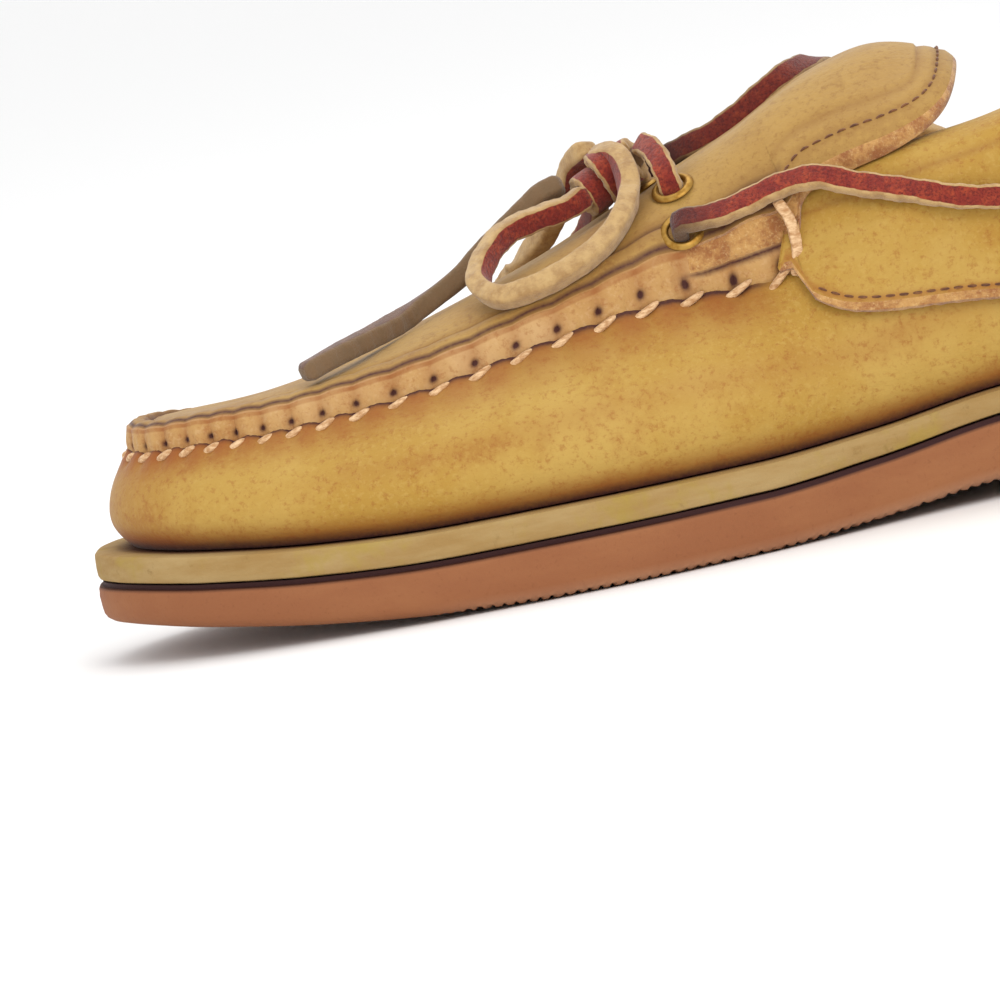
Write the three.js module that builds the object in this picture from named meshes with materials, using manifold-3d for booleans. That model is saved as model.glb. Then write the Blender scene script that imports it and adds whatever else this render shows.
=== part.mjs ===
// Hand-sewn boat shoe for the right foot, in millimetres, +Z up.
// The toe points to -X and the heel to +X. The inner side of the foot is -Y.
// Lengths along the shoe are shares of shoeLength, counted from the toe tip.
import * as THREE from 'three';
import { mergeVertices } from 'three/addons/utils/BufferGeometryUtils.js';
import Module from 'manifold-3d';

const wasm = await Module();
wasm.setup();

// Driving sizes of the last and the sole
const shoeLength = 300;
const ballWidth = 108;
const heelWidth = 74;
const toeSpring = 8;
const archLift = 3.8;
const outsoleThickness = 11.3;
const heelWedge = 8.6;
const midsoleThickness = 5.2;
const instepHeight = 50;
const collarHeight = 60;
const toeCapLength = 72;
const heelCapLength = 34;
const toeTipShift = 7.5;

// Leather, rubber and brass
const vampWall = 2.2;
const quarterWall = 2.5;
const plugWall = 2.6;
const insoleThickness = 3;
const clearance = 0.3;
const plugRise = 4.2;
const bandWidth = 3.4;
const bandLip = 0.8;
const rollDepth = 6;
const rollProud = 0.5;
const featherInset = 7;
const bulgeInset = 3.6;
const toeFeatherInset = 8.5;
const toeBulgeInset = 5;
const edgeRound = 2.6;
const glueLineHeight = 0.9;
const glueLineDepth = 0.8;
const midsoleInset = 0.3;
const lateralDrop = 7;
const laceWidth = 4.6;
const laceThickness = 3;
const laceBevel = 0.8;
const slotLength = 8;
const eyeletFlange = 8.6;
const eyeletHole = 5;
const eyeletMetal = 0.5;
const eyeletSeat = 0.15;
const collarWidth = 60;

// How finely the forms are cut
const halfSteps = 29;
const roundSides = 12;
const flatEnough = 0.04;
const cordSides = 8;
const cutSteps = 32;
const belowFeather = 6;

// Outsole's edge on each side, as shares of the width at that place
const outlineRows = [
  { at: 0.0, medial: 0.45, lateral: 0.38 },
  { at: 0.12, medial: 0.455, lateral: 0.4 },
  { at: 0.22, medial: 0.475, lateral: 0.45 },
  { at: 0.32, medial: 0.49, lateral: 0.49 },
  { at: 0.42, medial: 0.455, lateral: 0.505 },
  { at: 0.55, medial: 0.395, lateral: 0.475 },
  { at: 0.68, medial: 0.425, lateral: 0.495 },
  { at: 0.82, medial: 0.49, lateral: 0.505 },
  { at: 1.0, medial: 0.48, lateral: 0.48 },
];

// Side view of the sole: shares of toeSpring, archLift, outsoleThickness, heelWedge and midsoleThickness
const soleRows = [
  { at: 0.0, spring: 1.0, arch: 0, rubber: 0.72, wedge: 0, welt: 1.0 },
  { at: 0.07, spring: 0.7, arch: 0, rubber: 0.77, wedge: 0, welt: 1.0 },
  { at: 0.14, spring: 0.36, arch: 0, rubber: 0.84, wedge: 0, welt: 1.0 },
  { at: 0.22, spring: 0.1, arch: 0, rubber: 0.93, wedge: 0, welt: 1.0 },
  { at: 0.29, spring: 0, arch: 0, rubber: 1.0, wedge: 0, welt: 1.0 },
  { at: 0.42, spring: 0, arch: 0, rubber: 1.0, wedge: 0, welt: 0.98 },
  { at: 0.5, spring: 0, arch: 0.35, rubber: 1.0, wedge: 0.02, welt: 0.9 },
  { at: 0.58, spring: 0, arch: 0.9, rubber: 1.0, wedge: 0.12, welt: 0.85 },
  { at: 0.66, spring: 0, arch: 1.0, rubber: 1.0, wedge: 0.3, welt: 0.85 },
  { at: 0.76, spring: 0, arch: 0, rubber: 1.0, wedge: 0.82, welt: 0.85 },
  { at: 0.86, spring: 0, arch: 0, rubber: 1.0, wedge: 1.0, welt: 0.85 },
  { at: 0.96, spring: 0, arch: 0, rubber: 1.0, wedge: 1.0, welt: 0.85 },
  { at: 1.0, spring: 0.12, arch: 0, rubber: 0.92, wedge: 1.0, welt: 0.85 },
];

// The last: shoulder and crest heights above the sole as shares of instepHeight,
// shoulder inset and ridge place as shares of ballWidth, and how full the roof is
const lastRows = [
  { at: 0.0, shoulder: 0.38, outer: 0.38, inset: 0.108, crest: 0.38, ridge: -0.07, full: 1.7 },
  { at: 0.05, shoulder: 0.41, outer: 0.34, inset: 0.122, crest: 0.375, ridge: -0.07, full: 1.7 },
  { at: 0.11, shoulder: 0.43, outer: 0.33, inset: 0.145, crest: 0.4, ridge: -0.07, full: 1.7 },
  { at: 0.16, shoulder: 0.465, outer: 0.37, inset: 0.162, crest: 0.47, ridge: -0.07, full: 1.7 },
  { at: 0.23, shoulder: 0.51, outer: 0.42, inset: 0.176, crest: 0.575, ridge: -0.06, full: 1.7 },
  { at: 0.31, shoulder: 0.59, outer: 0.51, inset: 0.19, crest: 0.74, ridge: -0.045, full: 1.8 },
  { at: 0.4, shoulder: 0.645, outer: 0.57, inset: 0.194, crest: 0.95, ridge: -0.03, full: 1.9 },
  { at: 0.465, shoulder: 0.64, outer: 0.58, inset: 0.157, crest: 1.1, ridge: -0.025, full: 2.0 },
  { at: 0.545, shoulder: 0.74, outer: 0.68, inset: 0.058, crest: 1.23, ridge: -0.02, full: 2.2 },
  { at: 0.575, shoulder: 0.79, outer: 0.73, inset: 0.052, crest: 1.17, ridge: -0.02, full: 2.4 },
  { at: 0.61, shoulder: 0.86, outer: 0.79, inset: 0.045, crest: 1.08, ridge: -0.01, full: 2.8 },
  { at: 0.66, shoulder: 0.92, outer: 0.84, inset: 0.042, crest: 1.14, ridge: 0, full: 3.0 },
  { at: 0.73, shoulder: 0.96, outer: 0.88, inset: 0.04, crest: 1.24, ridge: 0, full: 3.0 },
  { at: 0.85, shoulder: 1.0, outer: 0.95, inset: 0.045, crest: 1.38, ridge: 0, full: 3.0 },
  { at: 1.0, shoulder: 1.05, outer: 1.05, inset: 0.06, crest: 1.42, ridge: 0, full: 3.0 },
];
const ridgeFront = 0.14;
const ridgeBack = 0.93;
const bulgeShare = 0.32;
const wallCurve = 1.8;
const wallShares = [0.16, 0.38, 0.6, 0.8, 1];
const roofShares = [0.18, 0.42, 0.7, 1];

// Topline of the collar above the sole, as shares of collarHeight
const toplineRows = [
  { at: 0.45, height: 0.79 },
  { at: 0.5, height: 0.815 },
  { at: 0.55, height: 0.83 },
  { at: 0.6, height: 0.84 },
  { at: 0.66, height: 0.88 },
  { at: 0.75, height: 0.93 },
  { at: 0.86, height: 0.97 },
  { at: 0.95, height: 1.01 },
  { at: 1.02, height: 1.03 },
];

// Raw lower edge of the quarter above the sole, as shares of instepHeight
const quarterEdgeRows = [
  { at: 0.473, height: 0.66 },
  { at: 0.478, height: 0.55 },
  { at: 0.488, height: 0.5 },
  { at: 0.503, height: 0.455 },
  { at: 0.535, height: 0.405 },
  { at: 0.595, height: 0.33 },
  { at: 0.67, height: 0.215 },
  { at: 0.74, height: 0.1 },
  { at: 0.8, height: 0 },
  { at: 1.02, height: 0 },
];

// Free flap at the back of the plug: half widths as shares of ballWidth
const flapRows = [
  { at: 0.46, medial: 0.225, lateral: 0.235 },
  { at: 0.5, medial: 0.222, lateral: 0.232 },
  { at: 0.54, medial: 0.225, lateral: 0.235 },
  { at: 0.567, medial: 0.222, lateral: 0.232 },
  { at: 0.582, medial: 0.208, lateral: 0.218 },
  { at: 0.592, medial: 0.17, lateral: 0.18 },
  { at: 0.597, medial: 0.09, lateral: 0.1 },
];
const seamEnd = 0.482;

// A table's column at any place, smooth and never past its rows
function read(rows, column, at) {
  const last = rows.length - 1;
  if (at <= rows[0].at) return rows[0][column];
  if (at >= rows[last].at) return rows[last][column];
  const k = rows.findIndex((row) => row.at > at) - 1;
  const rise = (j) => (rows[j + 1][column] - rows[j][column]) / (rows[j + 1].at - rows[j].at);
  const slope = (j) => {
    if (j === 0 || j === last) return 0;
    const before = rise(j - 1);
    const after = rise(j);
    return before * after <= 0 ? 0 : (2 * before * after) / (before + after);
  };
  const span = rows[k + 1].at - rows[k].at;
  const t = (at - rows[k].at) / span;
  return (
    rows[k][column] * (1 + 2 * t) * (1 - t) ** 2 +
    rows[k + 1][column] * (3 - 2 * t) * t ** 2 +
    span * slope(k) * t * (1 - t) ** 2 -
    span * slope(k + 1) * t ** 2 * (1 - t)
  );
}

const xOf = (at) => at * shoeLength;

// Outline of the outsole
function widthAt(at) {
  const toHeel = THREE.MathUtils.smoothstep(at, 0.36, 0.82);
  return ballWidth + (heelWidth - ballWidth) * toHeel;
}

function roundEnd(distance, capLength, power) {
  if (distance >= capLength) return 1;
  return (1 - (1 - distance / capLength) ** power) ** (1 / power);
}

function edgeY(at, side) {
  const toe = roundEnd(xOf(at), toeCapLength, 2.1);
  const heel = roundEnd(xOf(1 - at), heelCapLength, 2.2);
  const out = side * read(outlineRows, side < 0 ? 'medial' : 'lateral', at) * widthAt(at);
  return ((out + toeTipShift) * toe - toeTipShift) * heel;
}

// Places along the shoe that cut both edges into even steps
function evenPlaces() {
  const fine = 600;
  const places = [0];
  const run = [0];
  for (let k = 1; k <= fine; k++) {
    const at = (1 - Math.cos((Math.PI * k) / fine)) / 2;
    const before = places[k - 1];
    let step = 0;
    for (const side of [-1, 1]) {
      step += Math.hypot(xOf(at - before), edgeY(at, side) - edgeY(before, side)) / 2;
    }
    places.push(at);
    run.push(run[k - 1] + step);
  }
  const even = [];
  for (let i = 0; i <= halfSteps; i++) {
    const want = (run[fine] * i) / halfSteps;
    const k = Math.min(fine, Math.max(1, run.findIndex((r) => r >= want)));
    const t = (want - run[k - 1]) / (run[k] - run[k - 1]);
    even.push(places[k - 1] + t * (places[k] - places[k - 1]));
  }
  return even;
}

// One stop for each point of the edge: place, side and inward direction.
// Stop i on the medial side faces stop 2 * halfSteps - i on the lateral side.
const ringSize = 2 * halfSteps;

function makeStops() {
  const places = evenPlaces();
  const stops = [];
  for (let i = 0; i < ringSize; i++) {
    const medial = i <= halfSteps;
    const at = places[medial ? i : ringSize - i];
    stops.push({ at, side: medial ? -1 : 1, x: xOf(at), y: edgeY(at, medial ? -1 : 1) });
  }
  stops.forEach((stop, i) => {
    const ahead = stops[(i + 1) % ringSize];
    const behind = stops[(i + ringSize - 1) % ringSize];
    const run = Math.hypot(ahead.x - behind.x, ahead.y - behind.y);
    stop.inX = -(ahead.y - behind.y) / run;
    stop.inY = (ahead.x - behind.x) / run;
  });
  return stops;
}

const stops = makeStops();

// Heights of the sole at any x
function soleLines(x) {
  const at = x / shoeLength;
  const bottom = toeSpring * read(soleRows, 'spring', at) + archLift * read(soleRows, 'arch', at);
  const rubber = outsoleThickness * read(soleRows, 'rubber', at) + heelWedge * read(soleRows, 'wedge', at);
  const outsoleTop = bottom + rubber;
  const top = outsoleTop + midsoleThickness * read(soleRows, 'welt', at);
  return { bottom, outsoleTop, top };
}

const soleTop = (x) => soleLines(x).top;

// Closed solids from vertices and triangles
function solid(vertices, triangles) {
  return new wasm.Manifold(
    new wasm.Mesh({
      numProp: 3,
      vertProperties: new Float32Array(vertices.flat()),
      triVerts: new Uint32Array(triangles.flat()),
    }),
  );
}

function solidFrom(geometry) {
  geometry.deleteAttribute('normal');
  geometry.deleteAttribute('uv');
  const merged = mergeVertices(geometry, 1e-4);
  return new wasm.Manifold(
    new wasm.Mesh({
      numProp: 3,
      vertProperties: new Float32Array(merged.attributes.position.array),
      triVerts: new Uint32Array(merged.index.array),
    }),
  );
}

// Rings of equal size joined one after the other, with flat fans at both ends
function loft(rings) {
  const size = rings[0].length;
  const vertices = rings.flat();
  const triangles = [];
  for (let r = 0; r + 1 < rings.length; r++) {
    for (let k = 0; k < size; k++) {
      const a = r * size + k;
      const b = r * size + ((k + 1) % size);
      triangles.push([a, b, b + size], [a, b + size, a + size]);
    }
  }
  const end = (rings.length - 1) * size;
  for (let k = 1; k + 1 < size; k++) {
    triangles.push([0, k + 1, k], [end, end + k, end + k + 1]);
  }
  return solid(vertices, triangles);
}

// A block across the whole shoe between two heights that vary along and across it
function block(fromX, toX, steps, low, high) {
  const reach = ballWidth;
  const rings = [];
  for (let k = 0; k <= steps; k++) {
    const x = fromX + ((toX - fromX) * k) / steps;
    rings.push([
      [x, -reach, low(x, -reach)],
      [x, reach, low(x, reach)],
      [x, reach, high(x, reach)],
      [x, -reach, high(x, -reach)],
    ]);
  }
  return loft(rings);
}

// An upright prism over a plan outline
function prism(outline) {
  const shape = new THREE.Shape(outline.map(([x, y]) => new THREE.Vector2(x, y)));
  const geometry = new THREE.ExtrudeGeometry(shape, { depth: shoeLength, bevelEnabled: false });
  geometry.translate(0, 0, -shoeLength / 2);
  return solidFrom(geometry);
}

// A layer of the sole: rings of the outline, each drawn in by its inset, at heights that follow x
function soleLayer(levels) {
  const vertices = [];
  for (const { inset, height } of levels) {
    for (const stop of stops) {
      const x = stop.x + stop.inX * inset;
      vertices.push([x, stop.y + stop.inY * inset, height(x)]);
    }
  }
  const triangles = [];
  for (let r = 0; r + 1 < levels.length; r++) {
    for (let k = 0; k < ringSize; k++) {
      const a = r * ringSize + k;
      const b = r * ringSize + ((k + 1) % ringSize);
      triangles.push([a, b, b + ringSize], [a, b + ringSize, a + ringSize]);
    }
  }
  for (const [start, up] of [[0, false], [(levels.length - 1) * ringSize, true]]) {
    for (let k = 0; k < halfSteps; k++) {
      const a = start + k;
      const b = start + k + 1;
      const c = start + ((ringSize - k - 1) % ringSize);
      const d = start + ((ringSize - k) % ringSize);
      const faces = [[a, b, c], [a, c, d]].filter((f) => new Set(f).size === 3);
      for (const f of faces) triangles.push(up ? f : [f[0], f[2], f[1]]);
    }
  }
  return solid(vertices, triangles);
}

// The last: one closed form, grown or shrunk along its own normals.
// Each stop has a column of points from under the feather line over the shoulder to the ridge.
const fromToe = (toe, side, at) => toe + (side - toe) * THREE.MathUtils.smoothstep(at, 0.03, 0.25);

function shoulderInset(at) {
  return ballWidth * read(lastRows, 'inset', at);
}

function shoulderRise(stop) {
  const medial = read(lastRows, 'shoulder', stop.at);
  const lateral = read(lastRows, 'outer', stop.at);
  const lean = stop.side * Math.abs(stop.inY);
  return instepHeight * ((medial + lateral) / 2 + ((lateral - medial) / 2) * lean);
}

function wallPoint(stop, share) {
  const bulge = fromToe(toeBulgeInset, bulgeInset, stop.at);
  const feather = fromToe(toeFeatherInset, featherInset, stop.at);
  const upper = Math.max(0, (share - bulgeShare) / (1 - bulgeShare));
  const under = Math.max(0, (bulgeShare - share) / bulgeShare);
  const inset = bulge + (shoulderInset(stop.at) - bulge) * upper ** wallCurve
    + (feather - bulge) * under ** 2;
  const x = stop.x + stop.inX * inset;
  return [x, stop.y + stop.inY * inset, soleTop(x) + shoulderRise(stop) * share];
}

function ridgePoint(stop) {
  const at = ridgeFront + (ridgeBack - ridgeFront) * stop.at;
  const x = xOf(at);
  return [x, ballWidth * read(lastRows, 'ridge', at), soleTop(x) + instepHeight * read(lastRows, 'crest', at)];
}

function columnOf(stop) {
  const foot = wallPoint(stop, 0);
  const shoulder = wallPoint(stop, 1);
  const ridge = ridgePoint(stop);
  const full = read(lastRows, 'full', stop.at);
  const points = [[foot[0], foot[1], foot[2] - belowFeather], foot];
  for (const share of wallShares) points.push(wallPoint(stop, share));
  for (const share of roofShares) {
    const lift = 1 - (1 - share) ** full;
    points.push([
      shoulder[0] + (ridge[0] - shoulder[0]) * share,
      shoulder[1] + (ridge[1] - shoulder[1]) * share,
      shoulder[2] + (ridge[2] - shoulder[2]) * lift,
    ]);
  }
  return points;
}

const columnSize = 2 + wallShares.length + roofShares.length;

function makeSkin() {
  const columns = stops.map(columnOf);
  const index = (i, j) => {
    const k = (i + ringSize) % ringSize;
    const facing = j === columnSize - 1 && k > halfSteps ? ringSize - k : k;
    return facing * columnSize + j;
  };
  const triangles = [];
  for (let i = 0; i < ringSize; i++) {
    for (let j = 0; j + 1 < columnSize; j++) {
      const quad = [index(i, j), index(i + 1, j), index(i + 1, j + 1), index(i, j + 1)];
      triangles.push([quad[0], quad[1], quad[2]], [quad[0], quad[2], quad[3]]);
    }
  }
  const geometry = new THREE.BufferGeometry();
  geometry.setAttribute('position', new THREE.Float32BufferAttribute(columns.flat(2), 3));
  geometry.setIndex(triangles.filter((t) => new Set(t).size === 3).flat());
  geometry.computeVertexNormals();
  return { columns, geometry, index };
}

const skin = makeSkin();

function grown(offset) {
  const at = (i) => stops[i].at;
  const points = [];
  skin.columns.forEach((column, i) => {
    const by = typeof offset === 'function' ? offset(at(i)) : offset;
    column.forEach((point, j) => {
      const k = skin.index(i, j);
      const normal = new THREE.Vector3().fromBufferAttribute(skin.geometry.attributes.normal, k);
      points.push(point.map((value, axis) => value + normal.getComponent(axis) * by));
    });
  });
  return points;
}

function form(offset) {
  const vertices = grown(offset);
  const triangles = [];
  const index = skin.geometry.index.array;
  for (let k = 0; k < index.length; k += 3) triangles.push([index[k], index[k + 1], index[k + 2]]);
  for (let i = 0; i < halfSteps; i++) {
    const quad = [i, i + 1, ringSize - i - 1, ringSize - i].map((s) => (s % ringSize) * columnSize);
    for (const face of [[quad[0], quad[2], quad[1]], [quad[0], quad[3], quad[2]]]) {
      if (new Set(face).size === 3) triangles.push(face);
    }
  }
  const used = [...new Set(triangles.flat())];
  const place = new Map(used.map((vertex, k) => [vertex, k]));
  return solid(used.map((vertex) => vertices[vertex]), triangles.map((t) => t.map((v) => place.get(v))));
}

// Plan outline of the seam round the plug, drawn in by a margin, closed across at the seam's end
function seamOutline(margin) {
  const backX = xOf(seamEnd) - margin;
  const ring = stops.map((stop) => {
    const inset = shoulderInset(stop.at) + margin;
    return [stop.x + stop.inX * inset, stop.y + stop.inY * inset];
  });
  const before = ring.filter(([x]) => x < backX);
  const medial = before.filter(([, y], k) => k === 0 || y < -toeTipShift);
  const lateral = before.filter((point) => !medial.includes(point));
  const cross = (side) => {
    const edge = side < 0 ? ring.slice(0, halfSteps) : ring.slice(halfSteps + 1).reverse();
    const k = edge.findIndex(([x]) => x >= backX);
    const t = (backX - edge[k - 1][0]) / (edge[k][0] - edge[k - 1][0]);
    return [backX, edge[k - 1][1] + t * (edge[k][1] - edge[k - 1][1])];
  };
  return [...medial, cross(-1), cross(1), ...lateral];
}

function flapOutline() {
  const edge = (side) => flapRows.map((row) => [
    xOf(row.at),
    side * ballWidth * row[side < 0 ? 'medial' : 'lateral'],
  ]);
  return [...edge(-1), ...edge(1).reverse()];
}

// Heights that cut the upper
const aboveSole = (x) => soleTop(x) + clearance;
const toplineAt = (x, y, drop) => soleTop(x) + collarHeight * read(toplineRows, 'height', x / shoeLength)
  - lateralDrop * (y / collarWidth + 0.5) - drop;
const beyond = 12;
const collarFront = xOf(seamEnd);

const underSole = block(-beyond, shoeLength + beyond, cutSteps, () => -2 * shoeLength, aboveSole);

function overTopline(fromX, drop) {
  return block(fromX, shoeLength + beyond, cutSteps, (x, y) => toplineAt(x, y, drop), () => 2 * shoeLength);
}

// Pieces
function makeOutsole() {
  const bottom = (x) => soleLines(x).bottom;
  const top = (x) => soleLines(x).outsoleTop - clearance;
  return soleLayer([
    { inset: edgeRound, height: bottom },
    { inset: edgeRound * 0.3, height: (x) => bottom(x) + edgeRound * 0.3 },
    { inset: 0, height: (x) => bottom(x) + edgeRound },
    { inset: 0, height: (x) => top(x) - glueLineHeight },
    { inset: glueLineDepth, height: (x) => top(x) - glueLineHeight * 0.9 },
    { inset: glueLineDepth, height: top },
  ]);
}

function makeMidsole() {
  const bottom = (x) => soleLines(x).outsoleTop;
  return soleLayer([
    { inset: midsoleInset + 0.3, height: bottom },
    { inset: midsoleInset, height: (x) => bottom(x) + 0.4 },
    { inset: midsoleInset, height: (x) => soleTop(x) - 0.5 },
    { inset: midsoleInset + 0.5, height: soleTop },
  ]);
}

function makeInsole() {
  const slab = block(-beyond, shoeLength + beyond, cutSteps, aboveSole, (x) => aboveSole(x) + insoleThickness);
  return form(-vampWall - clearance).intersect(slab);
}

function makeVamp() {
  return form(0)
    .subtract(form(-vampWall))
    .subtract(underSole)
    .subtract(prism(seamOutline(-clearance / 2)))
    .subtract(overTopline(collarFront - 1, rollDepth / 2));
}

const flapRise = clearance + quarterWall + rollProud + clearance + plugWall;
const riseAt = (at) => plugRise + (flapRise - plugRise) * THREE.MathUtils.smoothstep(at, 0.39, seamEnd);

function makePlug() {
  const flap = prism(flapOutline());
  const field = prism(seamOutline(clearance / 2));
  const insideBand = prism(seamOutline(bandWidth));
  const sheet = form(riseAt).subtract(form((at) => riseAt(at) - plugWall));
  const band = form(plugRise + bandLip).subtract(form(-vampWall)).intersect(field.subtract(insideBand));
  const trimmedBand = band.subtract(prism([
    [xOf(seamEnd) - bandWidth - 1, -ballWidth * 0.19],
    [shoeLength, -ballWidth * 0.19],
    [shoeLength, ballWidth * 0.2],
    [xOf(seamEnd) - bandWidth - 1, ballWidth * 0.2],
  ]));
  return sheet.intersect(field.add(flap)).add(trimmedBand).subtract(underSole);
}

function makeQuarter() {
  const outer = form(quarterWall + clearance);
  const wall = outer.subtract(form(clearance));
  const overEdge = block(xOf(quarterEdgeRows[0].at), shoeLength + beyond, cutSteps,
    (x) => soleTop(x) + clearance + instepHeight * read(quarterEdgeRows, 'height', x / shoeLength),
    () => 2 * shoeLength);
  const roll = form(quarterWall + clearance + rollProud)
    .subtract(form(-vampWall))
    .subtract(block(-beyond, shoeLength + beyond, cutSteps, () => -2 * shoeLength,
      (x, y) => toplineAt(x, y, rollDepth / 2 - clearance)));
  return wall
    .add(roll)
    .intersect(overEdge)
    .subtract(overTopline(-beyond, 0))
    .subtract(prism(seamOutline(-clearance)))
    .subtract(underSole);
}

// Places on the form: a ray from outside towards the middle of the foot, at an angle above level
const quarterOuter = quarterWall + clearance;
const axisShare = 0.5;

function skinMesh(offset) {
  const geometry = new THREE.BufferGeometry();
  geometry.setAttribute('position', new THREE.Float32BufferAttribute(grown(offset).flat(), 3));
  geometry.setIndex(skin.geometry.index);
  const item = new THREE.Mesh(geometry, new THREE.MeshBasicMaterial({ side: THREE.DoubleSide }));
  item.updateMatrixWorld(true);
  return item;
}

const plugSkin = skinMesh(riseAt);
const quarterSkin = skinMesh(quarterOuter);

function onSkin(item, at, side, turn) {
  const x = xOf(at);
  const angle = THREE.MathUtils.degToRad(turn);
  const outward = new THREE.Vector3(0, side * Math.cos(angle), Math.sin(angle));
  const middle = new THREE.Vector3(x, 0, soleTop(x) + instepHeight * axisShare);
  const from = middle.clone().addScaledVector(outward, shoeLength);
  const [hit] = new THREE.Raycaster(from, outward.clone().negate()).intersectObject(item);
  const normal = hit.face.normal.clone();
  if (normal.dot(outward) < 0) normal.negate();
  return { point: hit.point, normal };
}

// Eyelets: where each stands on the plug, and which way it turns
const eyeletRows = [
  { name: 'eyelet_inner_low', at: 0.407, side: -1, turn: 36 },
  { name: 'eyelet_inner_high', at: 0.407, side: -1, turn: 57 },
  { name: 'eyelet_outer_high', at: 0.388, side: 1, turn: 88 },
  { name: 'eyelet_outer_low', at: 0.4, side: 1, turn: 68 },
];

function place(geometry, { point, normal }) {
  const turn = new THREE.Quaternion().setFromUnitVectors(new THREE.Vector3(0, 1, 0), normal);
  geometry.applyMatrix4(new THREE.Matrix4().compose(point, turn, new THREE.Vector3(1, 1, 1)));
  return solidFrom(geometry);
}

const eyeletSpot = (row) => onSkin(plugSkin, row.at, row.side, row.turn);

function makeEyelet(row) {
  const bore = eyeletHole / 2;
  const barrel = bore + eyeletMetal;
  const rim = eyeletFlange / 2;
  const top = eyeletSeat;
  const under = -plugWall - eyeletSeat;
  const profile = [
    [bore, under - eyeletMetal], [rim - 0.3, under - eyeletMetal], [rim - 0.3, under], [barrel, under],
    [barrel, top], [rim, top], [rim - 0.4, top + 0.6], [barrel + 0.2, top + 0.8], [bore, top + 0.3],
    [bore, under - eyeletMetal],
  ];
  const points = profile.map(([r, h]) => new THREE.Vector2(r, h));
  return place(new THREE.LatheGeometry(points, roundSides), eyeletSpot(row));
}

// Room for an eyelet: its hole, and the dents that its two flanges press into the leather
function eyeletRoom(row) {
  const hole = eyeletHole / 2 + eyeletMetal + clearance;
  const dent = eyeletFlange / 2 + clearance;
  const top = eyeletSeat - clearance;
  const under = -plugWall - eyeletSeat + clearance;
  const reach = 3 * plugWall;
  const profile = [
    [0, -reach], [dent, -reach], [dent, under], [hole, under], [hole, top], [dent, top], [dent, reach], [0, reach],
  ];
  const points = profile.map(([r, h]) => new THREE.Vector2(r, h));
  return place(new THREE.LatheGeometry(points, roundSides), eyeletSpot(row));
}

// Lace: a square-cut thong that lies along the collar from the low eyelet to a slot in the quarter.
// Seat is 0 on the plug and 1 on the quarter, and lift is the height of its middle in lace thicknesses.
const innerRunRows = [
  { at: 0.407, turn: 36, seat: 0, lift: 1.15 },
  { at: 0.42, turn: 36, seat: 0, lift: 1.05 },
  { at: 0.435, turn: 36.5, seat: 0, lift: 0.74 },
  { at: 0.455, turn: 38, seat: 0, lift: 0.72 },
  { at: 0.472, turn: 39, seat: 0, lift: 0.8 },
  { at: 0.498, turn: 37.5, seat: 0.1, lift: 0.72 },
  { at: 0.522, turn: 31.5, seat: 0.8, lift: 0.95 },
  { at: 0.55, turn: 24.5, seat: 1, lift: 0.85 },
  { at: 0.58, turn: 19.5, seat: 1, lift: 0.82 },
  { at: 0.61, turn: 16, seat: 1, lift: 0.75 },
  { at: 0.68, turn: 10, seat: 1, lift: 0.65 },
  { at: 0.74, turn: 5, seat: 1, lift: 0.65 },
  { at: 0.77, turn: 3, seat: 1, lift: 0.65 },
  { at: 0.788, turn: 2.4, seat: 1, lift: 0.02 },
];
const outerRunRows = [
  { at: 0.4, turn: 68, seat: 0, lift: 1.1 },
  { at: 0.415, turn: 73, seat: 0, lift: 0.96 },
  { at: 0.435, turn: 79, seat: 0, lift: 0.7 },
  { at: 0.465, turn: 83, seat: 0, lift: 0.65 },
  { at: 0.492, turn: 83.5, seat: 0, lift: 0.72 },
  { at: 0.51, turn: 75, seat: 0, lift: 0.78 },
  { at: 0.527, turn: 60, seat: 0, lift: 0.75 },
  { at: 0.545, turn: 43, seat: 0, lift: 0.75 },
  { at: 0.563, turn: 30, seat: 0.7, lift: 1.15 },
  { at: 0.59, turn: 20, seat: 1, lift: 1.12 },
  { at: 0.615, turn: 15.5, seat: 1, lift: 0.85 },
  { at: 0.645, turn: 12.5, seat: 1, lift: 0.72 },
  { at: 0.69, turn: 10, seat: 1, lift: 0.65 },
  { at: 0.74, turn: 6, seat: 1, lift: 0.65 },
  { at: 0.77, turn: 4, seat: 1, lift: 0.65 },
  { at: 0.788, turn: 3.4, seat: 1, lift: 0.02 },
];

function runStops(rows, side) {
  const found = rows.map((row) => {
    const low = onSkin(plugSkin, row.at, side, row.turn);
    const high = onSkin(quarterSkin, row.at, side, row.turn);
    const normal = low.normal.lerp(high.normal, row.seat).normalize();
    const point = low.point.lerp(high.point, row.seat).addScaledVector(normal, row.lift * laceThickness);
    return { point, normal };
  });
  const path = new THREE.CatmullRomCurve3(found.map((stop) => stop.point));
  const count = (rows.length - 1) * 2;
  const steps = [];
  for (let k = 0; k <= count; k++) {
    const t = k / count;
    const j = Math.min(rows.length - 2, Math.floor(t * (rows.length - 1)));
    const normal = found[j].normal.clone().lerp(found[j + 1].normal, t * (rows.length - 1) - j);
    steps.push({ point: path.getPoint(t), along: path.getTangent(t), normal });
  }
  return steps;
}

function laceRun(rows, side) {
  const half = laceWidth / 2;
  const deep = laceThickness / 2;
  const corners = [
    [half, -deep + laceBevel], [half, deep - laceBevel], [half - laceBevel, deep], [-half + laceBevel, deep],
    [-half, deep - laceBevel], [-half, -deep + laceBevel], [-half + laceBevel, -deep], [half - laceBevel, -deep],
  ];
  return loft(runStops(rows, side).map(({ point, along, normal }) => {
    const across = new THREE.Vector3().crossVectors(normal, along).normalize();
    const out = new THREE.Vector3().crossVectors(along, across).normalize();
    return corners.map(([a, b]) => point.clone().addScaledVector(across, a).addScaledVector(out, b).toArray());
  }));
}

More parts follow.
